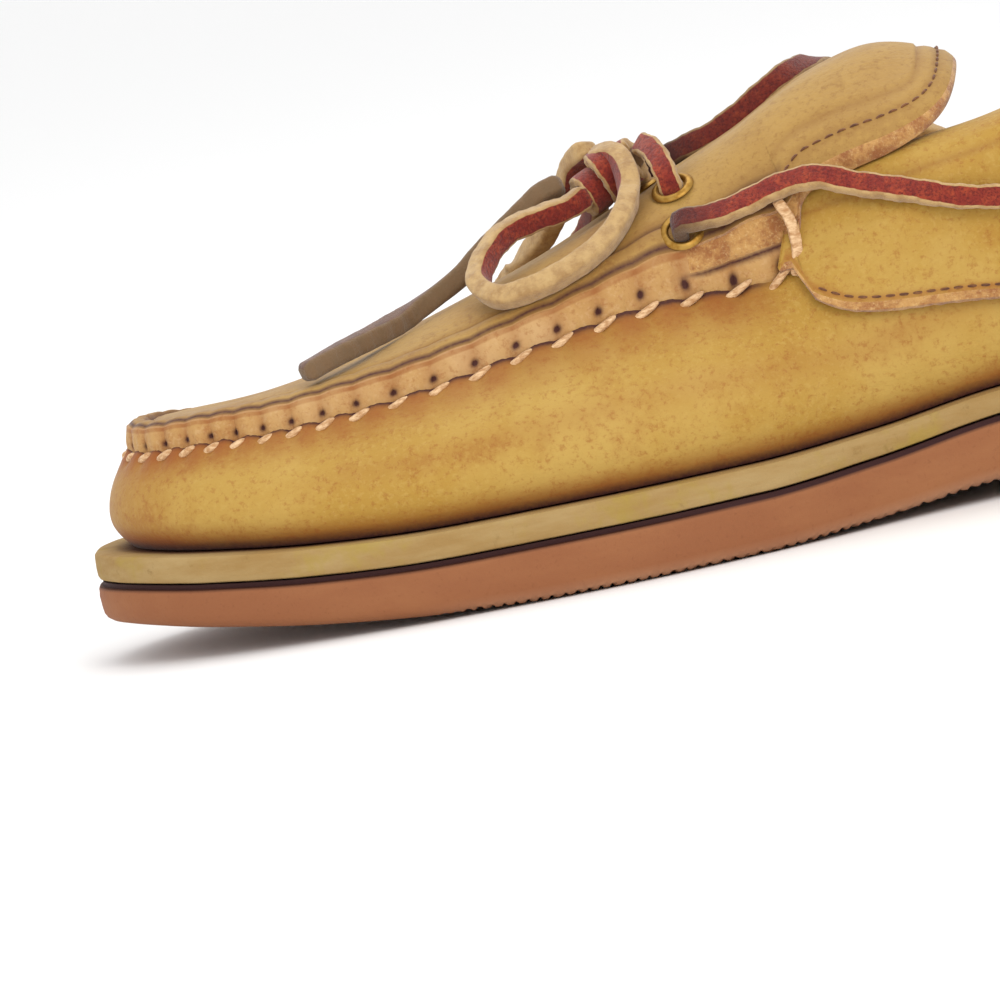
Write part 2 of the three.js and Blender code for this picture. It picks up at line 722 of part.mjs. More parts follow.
// Slot in the quarter that takes the end of the lace
function laceSlot(rows, side) {
  const { point, along, normal } = runStops(rows, side).at(-1);
  const across = new THREE.Vector3().crossVectors(normal, along).normalize();
  const out = new THREE.Vector3().crossVectors(along, across).normalize();
  const depth = 4 * (quarterWall + laceThickness);
  const geometry = new THREE.BoxGeometry(slotLength, laceWidth + 2 * clearance, depth);
  const centre = point.clone().addScaledVector(along, clearance - slotLength / 2);
  geometry.applyMatrix4(new THREE.Matrix4().makeBasis(along, across, out).setPosition(centre));
  return solidFrom(geometry);
}

// Bow, and the strand that crosses from the high eyelet into its knot: routes chosen by hand, x from the toe.
// They were chosen with that eyelet at bowHome, and they move with it, in hundredths, when a size of the shoe changes.
const bowHome = [122.1, -17.1445, 67.8137];
const highEyelet = eyeletSpot(eyeletRows.find((row) => row.name === 'eyelet_inner_high')).point;
const bowShift = highEyelet.sub(new THREE.Vector3(...bowHome)).multiplyScalar(100).round().divideScalar(100);
const cordRadius = 1.9;
const knotMiddle = [110.8, -4, 71.8];
const knotRadii = [6.6, 6.6, 4.7];
const knotTilt = 0.4;
const routes = {
  lace_crossing: [
    [121.7, -17.7, 69.3], [121.2, -16.8, 71.9], [120.4, -13.6, 74.7], [119.2, -9.9, 76.4], [117.6, -6.4, 76.9],
  ],
  bow_near_loop: [
    [112.6, -12.8, 70.2], [113.6, -16.4, 69.2], [112.4, -21.7, 66.4], [107.8, -27, 62], [100.8, -31, 58.6],
    [92.5, -31.8, 56.2], [85.9, -29.8, 55.6], [82.6, -24.6, 58.2], [84.4, -19.2, 62], [89, -14.5, 65.7],
    [95.5, -11.5, 67.2], [102, -9.4, 68],
  ],
  bow_near_end: [
    [102, -2.6, 72], [98, -2.4, 71], [94.2, -2.8, 68.7], [86.8, -4, 63.9], [79.4, -5.4, 58.8],
    [68.6, -9.8, 54], [62, -15.8, 52.2], [53.8, -22, 50.4], [46.7, -26, 48.4],
  ],
  bow_far_loop: [
    [108.6, 2, 77.4], [106, 5, 75.8], [103.5, 8.5, 72], [100.5, 13, 66.5], [96, 18.5, 60.8], [91, 24.4, 55.6],
    [87.5, 29, 51.7], [89, 32.8, 50.2], [95, 33.4, 51.2], [101, 31, 54.9], [105.5, 24.8, 60],
    [107.5, 17, 64.4], [108, 10, 67.8], [108.4, 5.2, 69.4],
  ],
  bow_far_end: [
    [113.6, 4.9, 71], [113.8, 9.4, 69.8], [114.2, 15.6, 66.8], [116, 22.8, 63.8], [119.5, 28.6, 60],
    [124, 33.2, 58], [130, 35.8, 56.6], [137, 37.8, 56.2],
  ],
};

function makeCord(route) {
  const outline = [];
  for (let k = 0; k < cordSides; k++) {
    const angle = (2 * Math.PI * (k + 0.5)) / cordSides;
    outline.push(new THREE.Vector2(cordRadius * Math.cos(angle), cordRadius * Math.sin(angle)));
  }
  const points = route.map((point) => new THREE.Vector3(...point).add(bowShift));
  const extrudePath = new THREE.CatmullRomCurve3(points);
  const steps = Math.max(3, Math.round(extrudePath.getLength() / (5.5 * cordRadius)));
  return solidFrom(new THREE.ExtrudeGeometry(new THREE.Shape(outline), { steps, extrudePath }));
}

function makeKnot() {
  const geometry = new THREE.SphereGeometry(1, 14, 10);
  geometry.scale(...knotRadii);
  geometry.rotateY(-knotTilt);
  geometry.translate(...bowShift.clone().add(new THREE.Vector3(...knotMiddle)));
  return solidFrom(geometry);
}

// Colours and finishes
const finishes = {
  leather: { color: 0xc8a050, roughness: 0.62, metalness: 0 },
  lining: { color: 0xb89456, roughness: 0.8, metalness: 0 },
  crepe: { color: 0xcdb978, roughness: 0.7, metalness: 0 },
  rubber: { color: 0xa56950, roughness: 0.75, metalness: 0 },
  brass: { color: 0xb8923c, roughness: 0.3, metalness: 1 },
  rawhide: { color: 0x8a3028, roughness: 0.75, metalness: 0 },
};

function node(name, body, finish) {
  const mesh = body.simplify(flatEnough).getMesh();
  const geometry = new THREE.BufferGeometry();
  geometry.setAttribute('position', new THREE.BufferAttribute(mesh.vertProperties, 3));
  geometry.setIndex(new THREE.BufferAttribute(mesh.triVerts, 1));
  const item = new THREE.Mesh(geometry, new THREE.MeshStandardMaterial(finishes[finish]));
  item.name = name;
  return item;
}

const pierced = eyeletRows.reduce((body, row) => body.subtract(eyeletRoom(row)), makePlug());
const slotted = makeQuarter().subtract(laceSlot(innerRunRows, -1)).subtract(laceSlot(outerRunRows, 1));

const shoe = new THREE.Group();
shoe.add(node('outsole', makeOutsole(), 'rubber'));
shoe.add(node('midsole', makeMidsole(), 'crepe'));
shoe.add(node('insole', makeInsole(), 'lining'));
shoe.add(node('vamp', makeVamp(), 'leather'));
shoe.add(node('plug_tongue', pierced, 'leather'));
shoe.add(node('quarter', slotted, 'leather'));
for (const row of eyeletRows) shoe.add(node(row.name, makeEyelet(row), 'brass'));
shoe.add(node('lace_inner_run', laceRun(innerRunRows, -1), 'rawhide'));
shoe.add(node('lace_outer_run', laceRun(outerRunRows, 1), 'rawhide'));
for (const [name, route] of Object.entries(routes)) shoe.add(node(name, makeCord(route), 'rawhide'));
shoe.add(node('bow_knot', makeKnot(), 'rawhide'));

// The origin is under the middle of the shoe, on the floor
const bounds = new THREE.Box3();
for (const item of shoe.children) if (!item.name.startsWith('bow')) bounds.expandByObject(item);
const middle = bounds.getCenter(new THREE.Vector3());
shoe.position.set(-middle.x, -middle.y, -bounds.min.z);

const group = new THREE.Group();
group.add(shoe);
export default group;
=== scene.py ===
"""Boat shoe in golden leather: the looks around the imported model, in metres, toe to -X, heel to +X."""
import math

import bpy
import numpy as np
from mathutils import Matrix, Vector
from mathutils.bvhtree import BVHTree


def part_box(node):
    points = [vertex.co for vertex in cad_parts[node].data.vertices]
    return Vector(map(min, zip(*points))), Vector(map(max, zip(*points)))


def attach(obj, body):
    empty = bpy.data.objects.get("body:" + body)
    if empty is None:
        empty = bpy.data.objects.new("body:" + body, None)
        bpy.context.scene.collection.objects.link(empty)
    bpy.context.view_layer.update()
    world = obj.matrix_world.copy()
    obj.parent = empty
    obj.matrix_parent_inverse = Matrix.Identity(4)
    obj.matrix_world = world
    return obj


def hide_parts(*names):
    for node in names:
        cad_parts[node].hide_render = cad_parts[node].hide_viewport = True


bl_info = {
    "name": "Boat Shoe",
    "version": (1, 0, 0),
    "blender": (4, 5, 0),
    "location": "View3D > Sidebar > Shoe",
    "description": "Dresses a hand-sewn boat shoe with leather, rubber, thread and lace",
    "category": "Object",
}

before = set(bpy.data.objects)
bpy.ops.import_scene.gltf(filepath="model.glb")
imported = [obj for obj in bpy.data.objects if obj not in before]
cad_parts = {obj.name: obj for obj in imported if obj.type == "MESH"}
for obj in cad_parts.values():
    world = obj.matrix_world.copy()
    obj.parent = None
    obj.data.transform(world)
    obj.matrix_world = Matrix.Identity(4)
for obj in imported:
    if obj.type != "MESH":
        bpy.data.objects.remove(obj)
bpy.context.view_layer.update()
MM = 0.001


# ---------------------------------------------------------------- sizes and colours
def srgb(red, green, blue):
    def linear(value):
        value /= 255
        return value / 12.92 if value <= 0.04045 else ((value + 0.055) / 1.055) ** 2.4
    return (linear(red), linear(green), linear(blue))


def length(name, description, default):
    return bpy.props.FloatProperty(name=name, description=description, default=default, unit="LENGTH", precision=5)


def colour(name, description, default):
    return bpy.props.FloatVectorProperty(name=name, description=description, default=default, subtype="COLOR",
                                         min=0, max=1)


class ShoeSizes(bpy.types.PropertyGroup):
    vamp_wall: length("Vamp wall", "Thickness of the vamp's leather", 0.0022)
    quarter_wall: length("Quarter wall", "Thickness of the quarter's leather", 0.0025)
    plug_wall: length("Plug wall", "Thickness of the plug's leather", 0.0026)
    band_width: length("Band width", "Width of the raised rim round the plug", 0.0034)
    seam_pitch: length("Seam pitch", "Distance between two stitches of the toe seam", 0.0079)
    thread: length("Seam thread", "Thickness of the thread of the toe seam", 0.0015)
    fine_pitch: length("Fine pitch", "Distance between two machine stitches", 0.0026)
    fine_thread: length("Fine thread", "Thickness of the machine thread", 0.0005)
    lace_width: length("Lace width", "Width of the rawhide lace", 0.0046)
    lace_thickness: length("Lace thickness", "Thickness of the rawhide lace", 0.003)
    sipe_pitch: length("Sipe pitch", "Distance between two cuts of the tread", 0.0023)


class ShoeColours(bpy.types.PropertyGroup):
    leather: colour("Leather", "Golden yellow of the upper", srgb(170, 130, 46))
    leather_worn: colour("Worn leather", "Paler yellow where the leather is stretched", srgb(182, 147, 70))
    # leather_dark is also the colour of painted shade on the vamp and quarter: under the toe seam, near the sole, at
    # the toe tip and under the roll
    leather_dark: colour("Oiled leather", "Orange brown where oil gathers", srgb(144, 80, 20))
    # Painted shade: the plug's top is painted browner than the rest of the upper, as the shade of its up-facing
    # leather
    plug_top_shade: colour("Plug leather", "Brown of the plug where it faces up", srgb(155, 116, 56))
    # Painted shade: the darkest brown, painted into creases, stitch holes, the gap at the sole and the joints round
    # the band
    crease_shade: colour("Burnt edge", "Dark brown in the deepest creases", srgb(70, 30, 22))
    raw_edge: colour("Raw edge", "Fuzzy cut edge of the leather", srgb(196, 148, 84))
    lining: colour("Lining", "Flesh side inside the shoe", srgb(186, 146, 92))
    crepe: colour("Midsole", "Cream of the midsole", srgb(168, 141, 94))
    rubber: colour("Outsole", "Brick tan of the outsole", srgb(141, 86, 51))
    glue: colour("Glue line", "Dark line between the two layers of the sole", srgb(46, 8, 6))
    thread: colour("Thread", "Waxed thread of the toe seam", srgb(226, 190, 146))
    lace_face: colour("Lace face", "Dark red face of the lace", srgb(132, 42, 30))
    lace_edge: colour("Lace edge", "Raw cream edge and back of the lace", srgb(192, 158, 106))
    # Darker grey brown laid over most of the bow's free ends
    lace_dark: colour("Lace end", "Grey brown of the handled lace end", srgb(86, 66, 52))
    brass: colour("Brass", "Eyelets", srgb(176, 138, 70))
    floor: colour("Floor", "Pale studio floor", (0.93, 0.93, 0.93))


# Second tones of the finishes, beside the colours that a user would change
# The plug top's worn and dark tones, also darkened as painted shade of its up-facing leather
PLUG_SHADE_WORN = srgb(172, 135, 67)
PLUG_SHADE_DARK = srgb(131, 87, 35)
BAND = srgb(190, 150, 88)
BAND_WORN = srgb(206, 170, 118)
# BAND_DARK is also the band's painted shade round its stitch holes and at its top
BAND_DARK = srgb(148, 90, 40)
RAW_DARK = srgb(150, 92, 44)
RAW_PALE = srgb(226, 190, 130)
LINING_DARK = srgb(172, 132, 82)
LINING_PALE = srgb(202, 166, 114)
THREAD_SHADE = srgb(176, 128, 80)
FINE_THREAD = srgb(124, 76, 36)
FINE_SHADE = srgb(80, 42, 20)
CREPE_SHADE = srgb(153, 121, 71)
CREPE_OLIVE = srgb(160, 136, 56)
CREPE_DIRT = srgb(120, 92, 48)
# Painted shade on the midsole's top face under the upper
CREPE_UNDER_UPPER_SHADE = srgb(96, 56, 34)
RUBBER_PALE = srgb(153, 99, 60)
RUBBER_GRAIN = srgb(120, 68, 38)
# Painted highlight along the outsole's rounded lower edge
RUBBER_EDGE_HIGHLIGHT = srgb(172, 128, 98)
LACE_RAW_SHADE = srgb(164, 128, 82)
LACE_RAW_TIPS = srgb(216, 190, 142)
LACE_FACE_WORN = srgb(168, 70, 40)
LACE_FACE_DARK = srgb(84, 20, 20)
# Painted shade of the lace: at the eyelets, on low runs and in the knot's core
LACE_SHADE = srgb(54, 22, 20)
LACE_END_DARK = srgb(108, 84, 62)
BRASS_WORN = srgb(150, 108, 44)


def sizes():
    return bpy.context.scene.shoe_sizes


def colours():
    return bpy.context.scene.shoe_colours


# ---------------------------------------------------------------- the last, in millimetres from the toe tip
SHOE_LENGTH = 300
BALL_WIDTH = 108
HEEL_WIDTH = 74
TOE_SPRING = 8
ARCH_LIFT = 3.8
OUTSOLE_THICKNESS = 11.3
HEEL_WEDGE = 8.6
MIDSOLE_THICKNESS = 5.2
INSTEP_HEIGHT = 50
COLLAR_HEIGHT = 60
COLLAR_WIDTH = 60
TOE_CAP = 72
HEEL_CAP = 34
TOE_TIP_SHIFT = 7.5
CLEARANCE = 0.3
PLUG_RISE = 4.2
BAND_LIP = 0.8
ROLL_PROUD = 0.5
ROLL_DEPTH = 6
FEATHER_INSET = 7
TOE_FEATHER_INSET = 8.5
BULGE_INSET = 3.6
TOE_BULGE_INSET = 5
LATERAL_DROP = 7
SEAM_END = 0.482
RIDGE_FRONT = 0.14
RIDGE_BACK = 0.93
BULGE_SHARE = 0.32
WALL_CURVE = 1.8
AXIS_SHARE = 0.5
SPINE_FRONT = 24
SPINE_BACK = 0.565 * SHOE_LENGTH

# Fineness of the meshes: rows of the last, points along each side of the plug, its end and its walls
WALL_ROWS = 22
ROOF_ROWS = 26
SIDE_POINTS = 470
END_POINTS = 25
BAND_ROWS = 22
MERGE = 1e-6


class Table:
    """Rows with named columns, read at any place with a smooth curve that never passes its rows."""

    def __init__(self, names, rows):
        data = np.array(rows, float)
        self.at = data[:, 0]
        self.columns = {name: data[:, k] for k, name in enumerate(names.split())}

    def read(self, column, at):
        at = np.clip(np.asarray(at, float), self.at[0], self.at[-1])
        values = self.columns[column]
        rise = np.diff(values) / np.diff(self.at)
        slope = np.zeros(len(values))
        same = rise[:-1] * rise[1:] > 0
        total = rise[:-1] + rise[1:]
        slope[1:-1] = np.where(same, 2 * rise[:-1] * rise[1:] / np.where(same, total, 1), 0)
        k = np.clip(np.searchsorted(self.at, at, side="right") - 1, 0, len(values) - 2)
        span = self.at[k + 1] - self.at[k]
        t = (at - self.at[k]) / span
        return (values[k] * (1 + 2 * t) * (1 - t) ** 2 + values[k + 1] * (3 - 2 * t) * t ** 2
                + span * slope[k] * t * (1 - t) ** 2 - span * slope[k + 1] * t ** 2 * (1 - t))


OUTLINE = Table("at medial lateral", [
    (0, .45, .38), (.12, .455, .4), (.22, .475, .45), (.32, .49, .49), (.42, .455, .505), (.55, .395, .475),
    (.68, .425, .495), (.82, .49, .505), (1, .48, .48)])
SOLE = Table("at spring arch rubber wedge welt", [
    (0, 1, 0, .72, 0, 1), (.07, .7, 0, .77, 0, 1), (.14, .36, 0, .84, 0, 1), (.22, .1, 0, .93, 0, 1),
    (.29, 0, 0, 1, 0, 1), (.42, 0, 0, 1, 0, .98), (.5, 0, .35, 1, .02, .9), (.58, 0, .9, 1, .12, .85),
    (.66, 0, 1, 1, .3, .85), (.76, 0, 0, 1, .82, .85), (.86, 0, 0, 1, 1, .85), (.96, 0, 0, 1, 1, .85),
    (1, .12, 0, .92, 1, .85)])
LAST = Table("at shoulder outer inset crest ridge full", [
    (0, .38, .38, .108, .38, -.07, 1.7), (.05, .41, .34, .122, .375, -.07, 1.7),
    (.11, .43, .33, .145, .4, -.07, 1.7), (.16, .465, .37, .162, .47, -.07, 1.7),
    (.23, .51, .42, .176, .575, -.06, 1.7), (.31, .59, .51, .19, .74, -.045, 1.8),
    (.4, .645, .57, .194, .95, -.03, 1.9), (.465, .64, .58, .157, 1.1, -.025, 2),
    (.545, .74, .68, .058, 1.23, -.02, 2.2), (.575, .79, .73, .052, 1.17, -.02, 2.4),
    (.61, .86, .79, .045, 1.08, -.01, 2.8), (.66, .92, .84, .042, 1.14, 0, 3), (.73, .96, .88, .04, 1.24, 0, 3),
    (.85, 1, .95, .045, 1.38, 0, 3), (1, 1.05, 1.05, .06, 1.42, 0, 3)])
TOPLINE = Table("at height", [
    (.45, .79), (.5, .815), (.55, .83), (.6, .84), (.66, .88), (.75, .93), (.86, .97), (.95, 1.01), (1.02, 1.03)])
QUARTER_EDGE = Table("at height", [
    (.473, .66), (.478, .55), (.488, .5), (.503, .455), (.535, .405), (.595, .33), (.67, .215), (.74, .1),
    (.8, 0), (1.02, 0)])
FLAP = Table("at medial lateral", [
    (.46, .235, .235), (.5, .252, .232), (.54, .262, .235), (.567, .256, .232), (.582, .232, .215),
    (.592, .19, .18), (.597, .1, .1)])


def smooth(value, low, high):
    t = np.clip((np.asarray(value, float) - low) / (high - low), 0, 1)
    return t * t * (3 - 2 * t)


def hump(value, middle, width):
    return np.exp(-((value - middle) / width) ** 2)


def round_end(distance, cap, power):
    t = np.clip(1 - distance / cap, 0, 1)
    return (1 - t ** power) ** (1 / power)


def edge_y(at, side):
    width = BALL_WIDTH + (HEEL_WIDTH - BALL_WIDTH) * smooth(at, .36, .82)
    toe = round_end(at * SHOE_LENGTH, TOE_CAP, 2.1)
    heel = round_end((1 - at) * SHOE_LENGTH, HEEL_CAP, 2.2)
    out = side * np.where(side < 0, OUTLINE.read("medial", at), OUTLINE.read("lateral", at)) * width
    return ((out + TOE_TIP_SHIFT) * toe - TOE_TIP_SHIFT) * heel


def sole_lines(x):
    at = np.asarray(x, float) / SHOE_LENGTH
    bottom = TOE_SPRING * SOLE.read("spring", at) + ARCH_LIFT * SOLE.read("arch", at)
    outsole_top = bottom + OUTSOLE_THICKNESS * SOLE.read("rubber", at) + HEEL_WEDGE * SOLE.read("wedge", at)
    return bottom, outsole_top, outsole_top + MIDSOLE_THICKNESS * SOLE.read("welt", at)


def sole_top(x):
    return sole_lines(x)[2]


class Stops:
    """Points round the outline of the sole at even running lengths: medial side to the heel, lateral side back."""

    def __init__(self, steps):
        fine = (1 - np.cos(np.linspace(0, math.pi, 2401))) / 2
        run = np.zeros(len(fine))
        for side in (-1, 1):
            run[1:] += np.hypot(np.diff(fine) * SHOE_LENGTH, np.diff(edge_y(fine, side))) / 2
        run = np.cumsum(run)
        places = np.interp(np.linspace(0, run[-1], steps + 1), run, fine)
        self.steps = steps
        self.count = 2 * steps
        self.at = np.concatenate([places, places[-2:0:-1]])
        self.side = np.where(np.arange(self.count) <= steps, -1, 1)
        self.x = self.at * SHOE_LENGTH
        self.y = edge_y(self.at, self.side)
        dx = np.roll(self.x, -1) - np.roll(self.x, 1)
        dy = np.roll(self.y, -1) - np.roll(self.y, 1)
        run = np.hypot(dx, dy)
        self.in_x, self.in_y = -dy / run, dx / run
        self.run = np.concatenate([[0], np.cumsum(np.hypot(np.diff(self.x), np.diff(self.y)))])

    def moved(self, inset):
        return self.x + self.in_x * inset, self.y + self.in_y * inset

    def facing(self):
        return (self.count - np.arange(self.count)) % self.count


def last_columns(stops):
    """Columns of the last from the feather line over the shoulder to the ridge: (stops, places, xyz)."""
    at = stops.at
    bulge = TOE_BULGE_INSET + (BULGE_INSET - TOE_BULGE_INSET) * smooth(at, .03, .25)
    feather = TOE_FEATHER_INSET + (FEATHER_INSET - TOE_FEATHER_INSET) * smooth(at, .03, .25)
    shoulder_inset = BALL_WIDTH * LAST.read("inset", at)
    medial, lateral = LAST.read("shoulder", at), LAST.read("outer", at)
    lean = stops.side * np.abs(stops.in_y)
    rise = INSTEP_HEIGHT * ((medial + lateral) / 2 + (lateral - medial) / 2 * lean)
    columns = []
    for share in np.linspace(0, 1, WALL_ROWS):
        upper = max(0, (share - BULGE_SHARE) / (1 - BULGE_SHARE))
        under = max(0, (BULGE_SHARE - share) / BULGE_SHARE)
        x, y = stops.moved(bulge + (shoulder_inset - bulge) * upper ** WALL_CURVE + (feather - bulge) * under ** 2)
        columns.append(np.stack([x, y, sole_top(x) + rise * share], 1))
    shoulder = columns[-1]
    ridge_at = RIDGE_FRONT + (RIDGE_BACK - RIDGE_FRONT) * at
    ridge_x = ridge_at * SHOE_LENGTH
    ridge = np.stack([ridge_x, BALL_WIDTH * LAST.read("ridge", ridge_at),
                      sole_top(ridge_x) + INSTEP_HEIGHT * LAST.read("crest", ridge_at)], 1)
    full = LAST.read("full", at)
    for share in np.linspace(0, 1, ROOF_ROWS + 1)[1:]:
        lift = 1 - (1 - share) ** full
        step = shoulder + (ridge - shoulder) * share
        step[:, 2] = shoulder[:, 2] + (ridge[:, 2] - shoulder[:, 2]) * lift
        columns.append(step)
    return np.stack(columns, 1)


def unit(vectors):
    return vectors / np.maximum(np.linalg.norm(vectors, axis=-1, keepdims=True), 1e-9)


def column_normals(points, facing):
    along = np.roll(points, -1, 0) - np.roll(points, 1, 0)
    up = np.gradient(points, axis=1)
    normal = unit(np.cross(along, up))
    normal[:, -1] = unit(normal[:, -2] + normal[facing, -2])
    for _ in range(6):
        normal[:, 1:-1] = unit(normal[:, 1:-1] + 0.5 * (normal[:, :-2] + normal[:, 2:]))
    return normal


def grown(points, normals, offset):
    offset = np.asarray(offset, float)
    return points + normals * (offset[:, None, None] if offset.ndim == 1 else offset)


def rise_at(at, proud=0.0):
    """How far the plug's outside stands off the last: behind the band it climbs over the quarter's roll."""
    flap_rise = 2 * CLEARANCE + (sizes().quarter_wall + sizes().plug_wall) / MM + ROLL_PROUD
    return PLUG_RISE + (flap_rise - PLUG_RISE) * smooth(at, .39, SEAM_END) + proud


def topline_at(x, y, drop=0.0):
    return (sole_top(x) + COLLAR_HEIGHT * TOPLINE.read("height", np.asarray(x) / SHOE_LENGTH)
            - LATERAL_DROP * (np.asarray(y) / COLLAR_WIDTH + .5) - drop)


def resampled(columns, low, high, count, power=1.0):
    """Each column between two of its own running lengths, cut again into even steps."""
    shares = np.linspace(0, 1, count) ** power
    result = np.empty((len(columns), count, 3))
    for k, column in enumerate(columns):
        run = running(column)
        want = low[k] + (high[k] - low[k]) * shares
        result[k] = np.stack([np.interp(want, run, column[:, axis]) for axis in range(3)], 1)
    return result


def running(points):
    return np.concatenate([[0], np.cumsum(np.linalg.norm(np.diff(points, axis=0), axis=1))])


def crossing(columns, height):
    """Running length at which each column first reaches a height that depends on its x and y."""
    found = np.empty(len(columns))
    for k, column in enumerate(columns):
        run = running(column)
        over = column[:, 2] - height(column[:, 0], column[:, 1])
        above = np.nonzero(over >= 0)[0]
        j = above[0] if len(above) else len(column) - 1
        if j == 0:
            found[k] = 0
            continue
        found[k] = run[j - 1] + (run[j] - run[j - 1]) * -over[j - 1] / max(1e-9, over[j] - over[j - 1])
    return np.clip(found, 0, None)


# ---------------------------------------------------------------- meshes
def shift():
    """From the last's own origin, at the toe tip, to the frame's."""
    low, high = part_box("outsole")
    own = Stops(200)
    middle = (own.y.min() + own.y.max()) / 2
    return np.array([-SHOE_LENGTH / 2, (low[1] + high[1]) / 2 / MM - middle, 0])


SHIFT = shift()


def placed(points):
    return (np.asarray(points, float).reshape(-1, 3) + SHIFT) * MM


def pick_alone(piece):
    bpy.ops.object.select_all(action="DESELECT")
    piece.select_set(True)
    bpy.context.view_layer.objects.active = piece


def new_object(name, vertices, faces, materials, face_slots=None, uvs=None, tones=None, smooth_angle=40):
    """A mesh piece from millimetre points. uvs and tones hold one entry for each vertex."""
    mesh = bpy.data.meshes.new(name)
    mesh.from_pydata(placed(vertices).tolist(), [], [list(map(int, face)) for face in faces])
    for material in materials:
        mesh.materials.append(material)
    if face_slots is not None:
        mesh.polygons.foreach_set("material_index", np.asarray(face_slots, np.int32))
    if uvs is not None:
        layer = mesh.uv_layers.new(name="UVMap")
        index = np.empty(len(mesh.loops), np.int32)
        mesh.loops.foreach_get("vertex_index", index)
        layer.data.foreach_set("uv", (np.asarray(uvs, float)[index] * MM).ravel())
    for label, values in (tones or {}).items():
        layer = mesh.attributes.new(label, "FLOAT", "POINT")
        layer.data.foreach_set("value", np.asarray(values, float).ravel())
    mesh.validate()
    piece = bpy.data.objects.new(name, mesh)
    bpy.context.collection.objects.link(piece)
    pick_alone(piece)
    bpy.ops.object.mode_set(mode="EDIT")
    bpy.ops.mesh.select_all(action="SELECT")
    bpy.ops.mesh.remove_doubles(threshold=MERGE)
    bpy.ops.mesh.select_all(action="SELECT")
    bpy.ops.mesh.normals_make_consistent(inside=False)
    bpy.ops.object.mode_set(mode="OBJECT")
    bpy.ops.object.shade_smooth_by_angle(angle=math.radians(smooth_angle))
    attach(piece, "root")
    return piece


def loft(loops, closed):
    """Faces over rows of loops (n, m): each loop closes on itself, and an open row of loops gets two caps.

    Returns the faces and the row of each face.
    """
    n, m = loops.shape[:2]
    faces, rows = [], []
    for i in range(n if closed else n - 1):
        a, b = i * m, ((i + 1) % n) * m
        for j in range(m):
            k = (j + 1) % m
            faces.append((a + j, b + j, b + k, a + k))
            rows.append(j)
    if not closed:
        faces += [tuple(range(m))[::-1], tuple(range((n - 1) * m, n * m))]
        rows += [0, 0]
    return faces, rows


def grid_uvs(loops):
    """Running lengths along the rows and round the loops, in millimetres."""
    along = np.cumsum(np.concatenate([[0], np.linalg.norm(np.diff(loops.mean(1), axis=0), axis=1)]))
    across = np.stack([running(loop) for loop in loops])
    return np.stack([np.repeat(along[:, None], loops.shape[1], 1), across], 2).reshape(-1, 2)


# ---------------------------------------------------------------- finishes
# Scale of the tread's waves for one cut at each sipe pitch
SIPE_WAVE = 3.14 / 6.2832


class Value:
    """A socket of a node tree that can be used in sums."""

    def __init__(self, finish, socket):
        self.finish, self.socket = finish, socket

    def math(self, operation, other, swapped=False):
        first, second = (other, self) if swapped else (self, other)
        node = self.finish.node("ShaderNodeMath", {"operation": operation}, {0: first, 1: second})
        return Value(self.finish, node.outputs[0])

    def __add__(self, other):
        return self.math("ADD", other)

    def __radd__(self, other):
        return self.math("ADD", other, True)

    def __sub__(self, other):
        return self.math("SUBTRACT", other)

    def __rsub__(self, other):
        return self.math("SUBTRACT", other, True)

    def __mul__(self, other):
        return self.math("MULTIPLY", other)

    def __rmul__(self, other):
        return self.math("MULTIPLY", other, True)

    def between(self, low, high):
        node = self.finish.node("ShaderNodeMapRange", {"interpolation_type": "SMOOTHSTEP"},
                                {"Value": self, "From Min": low, "From Max": high})
        return Value(self.finish, node.outputs["Result"])


class Finish:
    """A material and the few kinds of node that the finishes are made of."""

    def __init__(self, name):
        self.material = bpy.data.materials.new(name)
        self.material.use_nodes = True
        self.tree = self.material.node_tree
        self.shader = self.tree.nodes["Principled BSDF"]
        self.coords = Value(self, self.node("ShaderNodeTexCoord").outputs["Object"])

    def node(self, kind, settings=None, inputs=None):
        node = self.tree.nodes.new(kind)
        for key, value in (settings or {}).items():
            setattr(node, key, value)
        for key, value in (inputs or {}).items():
            self.feed(node.inputs[key], value)
        return node

    def feed(self, socket, value):
        if isinstance(value, Value):
            self.tree.links.new(value.socket, socket)
        elif hasattr(value, "__len__"):
            socket.default_value = (*value[:3], 1) if socket.type == "RGBA" else tuple(value)
        else:
            socket.default_value = value

    def stretched(self, scale):
        return Value(self, self.node("ShaderNodeMapping", None, {"Vector": self.coords, "Scale": scale}).outputs[0])

    def noise(self, scale, detail=3, rough=0.55, coords=None, distortion=0):
        node = self.node("ShaderNodeTexNoise", None, {
            "Vector": coords or self.coords, "Scale": scale, "Detail": detail, "Roughness": rough,
            "Distortion": distortion})
        return Value(self, node.outputs["Fac"])

    def cells(self, scale):
        node = self.node("ShaderNodeTexVoronoi", None, {"Vector": self.coords, "Scale": scale})
        return Value(self, node.outputs["Distance"])

    def waves(self, scale, distortion):
        node = self.node("ShaderNodeTexWave", {"wave_profile": "TRI", "bands_direction": "X"},
                         {"Vector": self.coords, "Scale": scale, "Distortion": distortion})
        return Value(self, node.outputs["Fac"])

    def tone(self, name):
        return Value(self, self.node("ShaderNodeAttribute", {"attribute_name": name}).outputs["Fac"])

    def mix(self, share, first, second):
        node = self.node("ShaderNodeMix", {"data_type": "RGBA", "clamp_factor": True})
        self.feed(node.inputs[0], share)
        self.feed(node.inputs[6], first)
        self.feed(node.inputs[7], second)
        return Value(self, node.outputs[2])

    def bump(self, height, distance, strength=1.0, below=None):
        inputs = {"Height": height, "Distance": distance, "Strength": strength}
        if below:
            inputs["Normal"] = below
        return Value(self, self.node("ShaderNodeBump", None, inputs).outputs[0])

    def done(self, **inputs):
        for name, value in inputs.items():
            self.feed(self.shader.inputs[name.replace("_", " ")], value)
        return self.material


